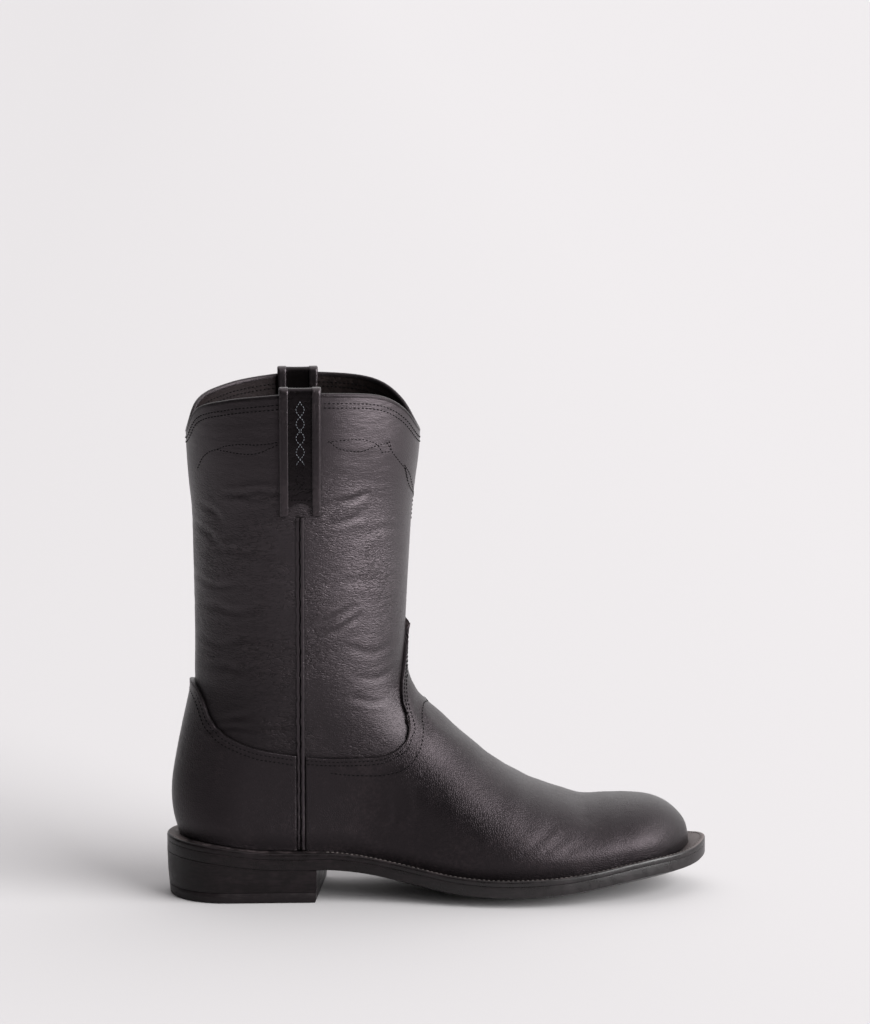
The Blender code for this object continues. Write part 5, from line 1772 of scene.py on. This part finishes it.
@dataclass
class Sole:
    """The insole, the welt, the outsole and the heel under the upper."""

    last: Last
    shop: Workshop
    stations: int = 160
    across: int = 10
    edge_round: float = 0.0002
    welt_round: float = 0.0017
    fit: float = 0.0001
    insole_thickness: float = 0.0062
    insole_clear: float = 0.0008
    heel_taper: float = 0.0016
    lift_thickness: float = 0.006
    lift_round: float = 0.0002
    breast_slant: float = 0.0040
    stitch_inset: float = 0.0026

    def loop(self, inset: float, height: Height, ends: tuple[float, float, float] | None = None) -> Loop:
        """One loop round the sole at a height given by a function.

        Args:
            inset: how far inside the sole's outline it runs.
            height: the height at places along and across the boot.
            ends: its back, its tip and its inset at the sides, if it has its own.

        Returns:
            Its outer and its inner half, both from heel to toe.
        """
        back, tip, side = ends or (self.last.sole_back + inset, self.last.sole_tip - inset, inset)
        turn = np.linspace(0.0, math.pi, self.stations + 1)
        x = mix(back, tip, (1.0 - np.cos(turn)) / 2.0)
        half, middle = self.last.inset_half(x, side, back, tip), self.last.flat_halves(x)[1]
        outer, inner = (np.stack([x, y, height(x, y)], axis=1) for y in (middle - half, middle + half))
        return outer, inner

    def inner_ends(self, clear: float) -> tuple[float, float, float]:
        """The ends and the side inset of a loop just inside the upper's wall."""
        last, reach = self.last, self.last.wall + self.last.gap + clear
        return last.feather_back + reach, last.feather_tip - reach, last.feather_side + reach

    def lay(self, loops: list[Loop], tip: bool) -> tuple[list, list[tuple[list, list]], list[tuple]]:
        """The points and the side faces of a stack of loops.

        Args:
            loops: the loops from top to bottom.
            tip: whether both halves of a loop meet at their front end.

        Returns:
            The points, each loop's two halves as indices, and the faces.
        """
        points, sides, faces = [], [], []
        for outer, inner in loops:
            first, count = len(points), len(outer)
            points += list(outer) + list(inner[1:-1] if tip else inner[1:])
            lat, med = list(range(first, first + count)), list(range(first + count, len(points)))
            sides.append((lat, [first, *med, lat[-1]] if tip else [first, *med]))
        for (lat, med), (low_lat, low_med) in zip(sides, sides[1:]):
            for i in range(len(lat) - 1):
                faces.append((lat[i], low_lat[i], low_lat[i + 1], lat[i + 1]))
                faces.append((med[i + 1], low_med[i + 1], low_med[i], med[i]))
            if not tip:
                faces.append((lat[-1], low_lat[-1], low_med[-1], med[-1]))
        return points, sides, faces

    def slab(self, name: str, loops: list[Loop], top: Height, under: Height, finish: Finish) -> bpy.types.Object:
        """A slab whose loops run round it from its top edge to its bottom edge.

        Args:
            name: the object's name.
            loops: its loops.
            top: the height of its top face.
            under: the height of its bottom face.
            finish: its finish.

        Returns:
            The object.
        """
        points, sides, faces = self.lay(loops, True)
        for (lat, med), height in ((sides[0], top), (sides[-1], under)):
            lines = [[lat[0]] * (self.across + 1)]
            for i in range(1, len(lat) - 1):
                line = [lat[i]]
                for k in range(1, self.across):
                    place = mix(np.array(points[lat[i]]), np.array(points[med[i]]), k / self.across)
                    place[2] = height(place[0], place[1])
                    line.append(len(points))
                    points.append(place)
                lines.append(line + [med[i]])
            lines.append([lat[-1]] * (self.across + 1))
            for one, two in zip(lines, lines[1:]):
                for k in range(self.across):
                    face = tuple(dict.fromkeys((one[k], two[k], two[k + 1], one[k + 1])))
                    if len(face) > 2:
                        faces.append(face if height is top else face[::-1])
        return self.shop.solid(name, points, faces, [finish])

    def edge_loops(self, over: Height, under: Height, radius: float, top_radius: float) -> list[Loop]:
        """Loops round an edge with rounded corners, from top to bottom.

        Args:
            over: the height of the top face.
            under: the height of the bottom face.
            radius: how far the lower corner is rounded.
            top_radius: the same for the upper corner.

        Returns:
            The loops.
        """
        loops, bottom = [], []
        for angle in (0.0, 0.4, 0.8, 1.2, math.pi / 2):
            inward, drop = 1.0 - math.sin(angle), 1.0 - math.cos(angle)
            loops.append(self.loop(top_radius * inward, lifted(over, -top_radius * drop)))
            bottom.append(self.loop(radius * inward, lifted(under, radius * drop)))
        return loops + bottom[::-1]

    def outsole(self) -> bpy.types.Object:
        """The outsole.

        Returns:
            The object.
        """
        last = self.last
        loops = self.edge_loops(last.sole_over, last.sole_under, self.edge_round, self.edge_round)
        made = self.slab("outsole_leather", loops, last.sole_over, last.sole_under, self.shop.edge)
        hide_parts("outsole")
        return made

    def insole(self) -> bpy.types.Object:
        """The insole, inside the welt and the upper.

        Returns:
            The object.
        """
        under = lifted(self.last.sole_over, self.last.seat_gap)
        over = lifted(under, self.insole_thickness)
        loops = [self.loop(0.0, face, self.inner_ends(self.insole_clear)) for face in (over, under)]
        made = self.slab("insole_sock", loops, over, under, self.shop.lining)
        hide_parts("insole")
        return made

    def welt(self) -> bpy.types.Object:
        """The welt: a strip all round, with its top left raw.

        Returns:
            The object.
        """
        over, under = self.last.welt_over, lifted(self.last.sole_over, self.fit)
        ends = self.inner_ends(0.0)
        outer = self.edge_loops(over, under, self.edge_round, self.welt_round)
        loops = [self.loop(0.0, over, ends), *outer, self.loop(0.0, under, ends)]
        rings = [np.concatenate([lat, med[-2:0:-1]]) for lat, med in loops]
        made = self.shop.tube("welt_strip", np.stack(rings, axis=1), True, self.shop.edge)
        made.data.materials.append(self.shop.of(self.shop.welt))
        for face in made.data.polygons:
            face.material_index = 1 if face.normal.z > 0.86 else 0
        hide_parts("welt")
        return made

    def heel_loop(self, inset: float, height: Height, breast: float) -> Loop:
        """One loop round the heel, as far as the slanted breast.

        Args:
            inset: how far inside the sole's outline it runs.
            height: the height at places along and across the boot.
            breast: the place of the breast.

        Returns:
            Its outer and its inner half, both from the back to the breast.
        """
        last, back = self.last, self.last.sole_back + inset
        share = 1.0 - np.cos(np.linspace(0.0, math.pi / 2, self.stations // 2 + 1))
        xs = mix(back, breast, share)
        half, middle = last.inset_half(xs, inset, back, last.sole_tip), last.flat_halves(xs)[1]
        sides = []
        for y in (middle - half, middle + half):
            x = xs + self.breast_slant * (y / (last.ball_width / 3)) * share
            sides.append(np.stack([x, y, height(x, y)], axis=1))
        return sides[0], sides[1]

    def heel_piece(self, name: str, loops: list[Loop], finish: Finish) -> bpy.types.Object:
        """A heel layer from its loops, top to bottom, closed across the breast.

        Args:
            name: the object's name.
            loops: its loops.
            finish: its finish.

        Returns:
            The object.
        """
        points, sides, faces = self.lay(loops, False)
        for (lat, med), order in ((sides[0], 1), (sides[-1], -1)):
            for i in range(len(lat) - 1):
                faces.append(tuple(dict.fromkeys((lat[i], lat[i + 1], med[i + 1], med[i])))[::order])
        return self.shop.solid(name, points, faces, [finish])

    def heel(self) -> list[bpy.types.Object]:
        """The heel stack under the outsole, and the lift that stands on the floor.

        Returns:
            Both objects.
        """
        last, lift, small = self.last, self.lift_thickness, self.lift_round

        def under_sole(x: Array, y: Array) -> Array:
            """The height just below the outsole, level across the boot."""
            middle = last.flat_halves(x)[1]
            return np.minimum(last.sole_under(x, y), last.sole_under(x, middle)) - self.fit

        def stages(steps: Path) -> list[Loop]:
            """Level loops of the tapered heel, from heights and insets."""
            insets = [inset + self.heel_taper * (1.0 - height / last.heel_height) for height, inset in steps]
            return [self.heel_loop(n, level(h), last.breast_x - n / 2) for (h, _), n in zip(steps, insets)]

        stack = [self.heel_loop(0.0, under_sole, last.breast_x)]
        stack += stages(((last.heel_height * 0.75, 0.0), (lift + 2 * small, 0.0), (lift + small / 2, small)))
        rubber = stages(((lift, small), (lift - small, 0.0), (0.0011, 0.0), (0.0004, 0.0003), (0.0, 0.0010)))
        block = self.heel_piece("heel_stack_leather", stack, self.shop.heel)
        foot = self.heel_piece("heel_lift_rubber", rubber, self.shop.rubber)
        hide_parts("heel_stack")
        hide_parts("heel_lift")
        return [block, foot]

    def sew(self, rows: Stitching) -> None:
        """The stitches along the welt's top, in front of the heel.

        Args:
            rows: the stitching to add them to.
        """
        outer, inner = self.loop(self.stitch_inset, self.last.welt_over)
        points = np.concatenate([outer, inner[-2::-1]])
        points = points[points[:, 0] > self.last.breast_x]
        rows.sew(points, np.tile([0.0, 0.0, 1.0], (len(points), 1)))


@dataclass
class Studio:
    """The pale floor, the soft light and the camera at the photo's angle."""

    # Pale matt paper.
    paper: Finish = Paper("studio_paper", colour="B6B4B5", roughness=0.9, gloss=0.0)
    floor_half: float = 30.0
    camera_place: tuple[float, float, float] = (0.0093, -2.3977, 0.574)
    target: tuple[float, float, float] = (0.114, 0.0, 0.215)
    lens: float = 152.7
    key_around: float = 57.0
    key_up: float = 20.0
    key_spread: float = 58.0
    key_strength: float = 7.2
    dome: float = 0.07

    def build(self) -> None:
        """Sets the studio up."""
        self.build_floor()
        self.build_dome()
        around, up = math.radians(self.key_around), math.radians(self.key_up)
        key = bpy.data.lights.new("key", "SUN")
        key.angle, key.energy = math.radians(self.key_spread), self.key_strength
        toward = (math.sin(around) * math.cos(up), -math.cos(around) * math.cos(up), math.sin(up))
        self.stand("key", key, tuple(3.0 * t for t in toward), (0.0, 0.0, 0.0))
        lens = bpy.data.cameras.new("photo_camera")
        lens.lens, lens.clip_end = self.lens, 200.0
        bpy.context.scene.camera = self.stand("photo_camera", lens, self.camera_place, self.target)

    def build_floor(self) -> None:
        """A wide floor of pale paper."""
        mesh = bpy.data.meshes.new("studio_floor")
        square = ((-1, -1), (1, -1), (1, 1), (-1, 1))
        mesh.from_pydata([(x * self.floor_half, y * self.floor_half, 0.0) for x, y in square], [], [(0, 1, 2, 3)])
        mesh.materials.append(self.paper.material())
        floor = bpy.data.objects.new("studio_floor", mesh)
        bpy.context.scene.collection.objects.link(floor)

    def build_dome(self) -> None:
        """A soft dome of light, brighter above and behind."""
        world = bpy.data.worlds.new("studio")
        world.use_nodes = True
        tree = world.node_tree
        toward = add(tree, "TexCoord", out="Generated")
        strength = self.dome
        for direction, power in (((0.35, 0.30, 0.89), 1.42), ((0.2, 0.95, 0.2), 0.6)):
            aimed = {0: toward, 1: tuple(unit(np.array(direction)))}
            facing = add(tree, "VectorMath", aimed, "Value", operation="DOT_PRODUCT")
            lobe = add(tree, "MapRange", {0: facing, 1: 0.2, 4: power}, **EASED)
            strength = add(tree, "Math", {0: lobe, 1: strength}, operation="ADD")
        fill(tree.nodes["Background"], {"Color": (1.0, 0.985, 0.99, 1.0), "Strength": strength})
        bpy.context.scene.world = world

    def stand(
        self, name: str, data: bpy.types.ID, place: Sequence[float], target: Sequence[float]
    ) -> bpy.types.Object:
        """Stands a light or the camera at a place, turned to a target.

        Args:
            name: the object's name.
            data: the light or the camera.
            place: where it stands.
            target: where it points.

        Returns:
            The object.
        """
        made = bpy.data.objects.new(name, data)
        away = np.asarray(place, float) - np.asarray(target, float)
        made.location = place
        made.rotation_euler = (
            math.atan2(math.hypot(away[0], away[1]), away[2]), 0.0, math.atan2(away[0], -away[1])
        )
        bpy.context.scene.collection.objects.link(made)
        return made


@dataclass
class Boot:
    """The whole boot: its pieces are built and ridden in a maker's order."""

    last: Last = field(default_factory=Last)
    shop: Workshop = field(default_factory=Workshop)

    def ride(self, piece: bpy.types.Object) -> None:
        """Puts a piece on the boot's body."""
        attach(piece, "root")

    def build(self) -> None:
        """Builds everything."""
        sole = Sole(self.last, self.shop)
        self.ride(sole.insole())
        self.ride(sole.outsole())
        self.ride(sole.welt())
        block, lift = sole.heel()
        self.ride(block)
        self.ride(lift)
        skin = Skin(self.last)
        upper = Upper(skin, self.shop)
        vamp = Overlay(skin, self.shop, "vamp_overlay", "vamp", self.shop.vamp, 0.0024)
        counter = Overlay(skin, self.shop, "counter_overlay", "counter", self.shop.vamp, -0.0026, columns=150)
        straps = [PullStrap(self.last, self.shop, side) for side in Side]
        pieces = [*upper.build(), vamp.build(), counter.build()]
        for strap in straps:
            pieces += [SideSeam(self.last, self.shop, strap.side).build(), strap.build()]
        for piece in pieces:
            self.ride(piece)
        self.sew(sole, upper, Decoration(skin, vamp, counter), straps)

    def sew(self, sole: Sole, upper: Upper, decoration: Decoration, straps: list[PullStrap]) -> None:
        """Sews the boot.

        Args:
            sole: the sole.
            upper: the upper.
            decoration: the rows on the shaft and the overlays.
            straps: the pull straps.
        """
        shop = self.shop
        plain = Stitching("upper_stitches", shop, shop.black_thread, Stitch())
        fine = Stitching("shaft_stitches", shop, shop.black_thread, Stitch(0.0016, 0.00055, 0.0021))
        pale = Stitching("strap_chain_stitches", shop, shop.pale_thread, Stitch(0.0013, 0.0004, 0.0016))
        dark = Stitching("strap_stitches", shop, shop.black_thread, Stitch(0.0014, 0.0004, 0.0018))
        welt = Stitching("welt_stitches", shop, shop.welt_thread, Stitch(0.0019, 0.0006, 0.0027))
        upper.sew(plain)
        decoration.sew_overlays(plain)
        decoration.sew_shaft(fine)
        for strap in straps:
            strap.sew(pale, dark)
        sole.sew(welt)
        for rows in (plain, fine, pale, dark):
            self.ride(rows.build())
        self.ride(welt.build())


def main() -> None:
    """Builds the boot and the studio, and keeps both boxes."""
    logging.basicConfig(level=logging.INFO, format="%(message)s")
    Boot().build()
    Studio().build()
    bpy.context.scene.view_settings.view_transform = "Standard"
    bpy.context.view_layer.update()


if __name__ == "__main__":
    main()
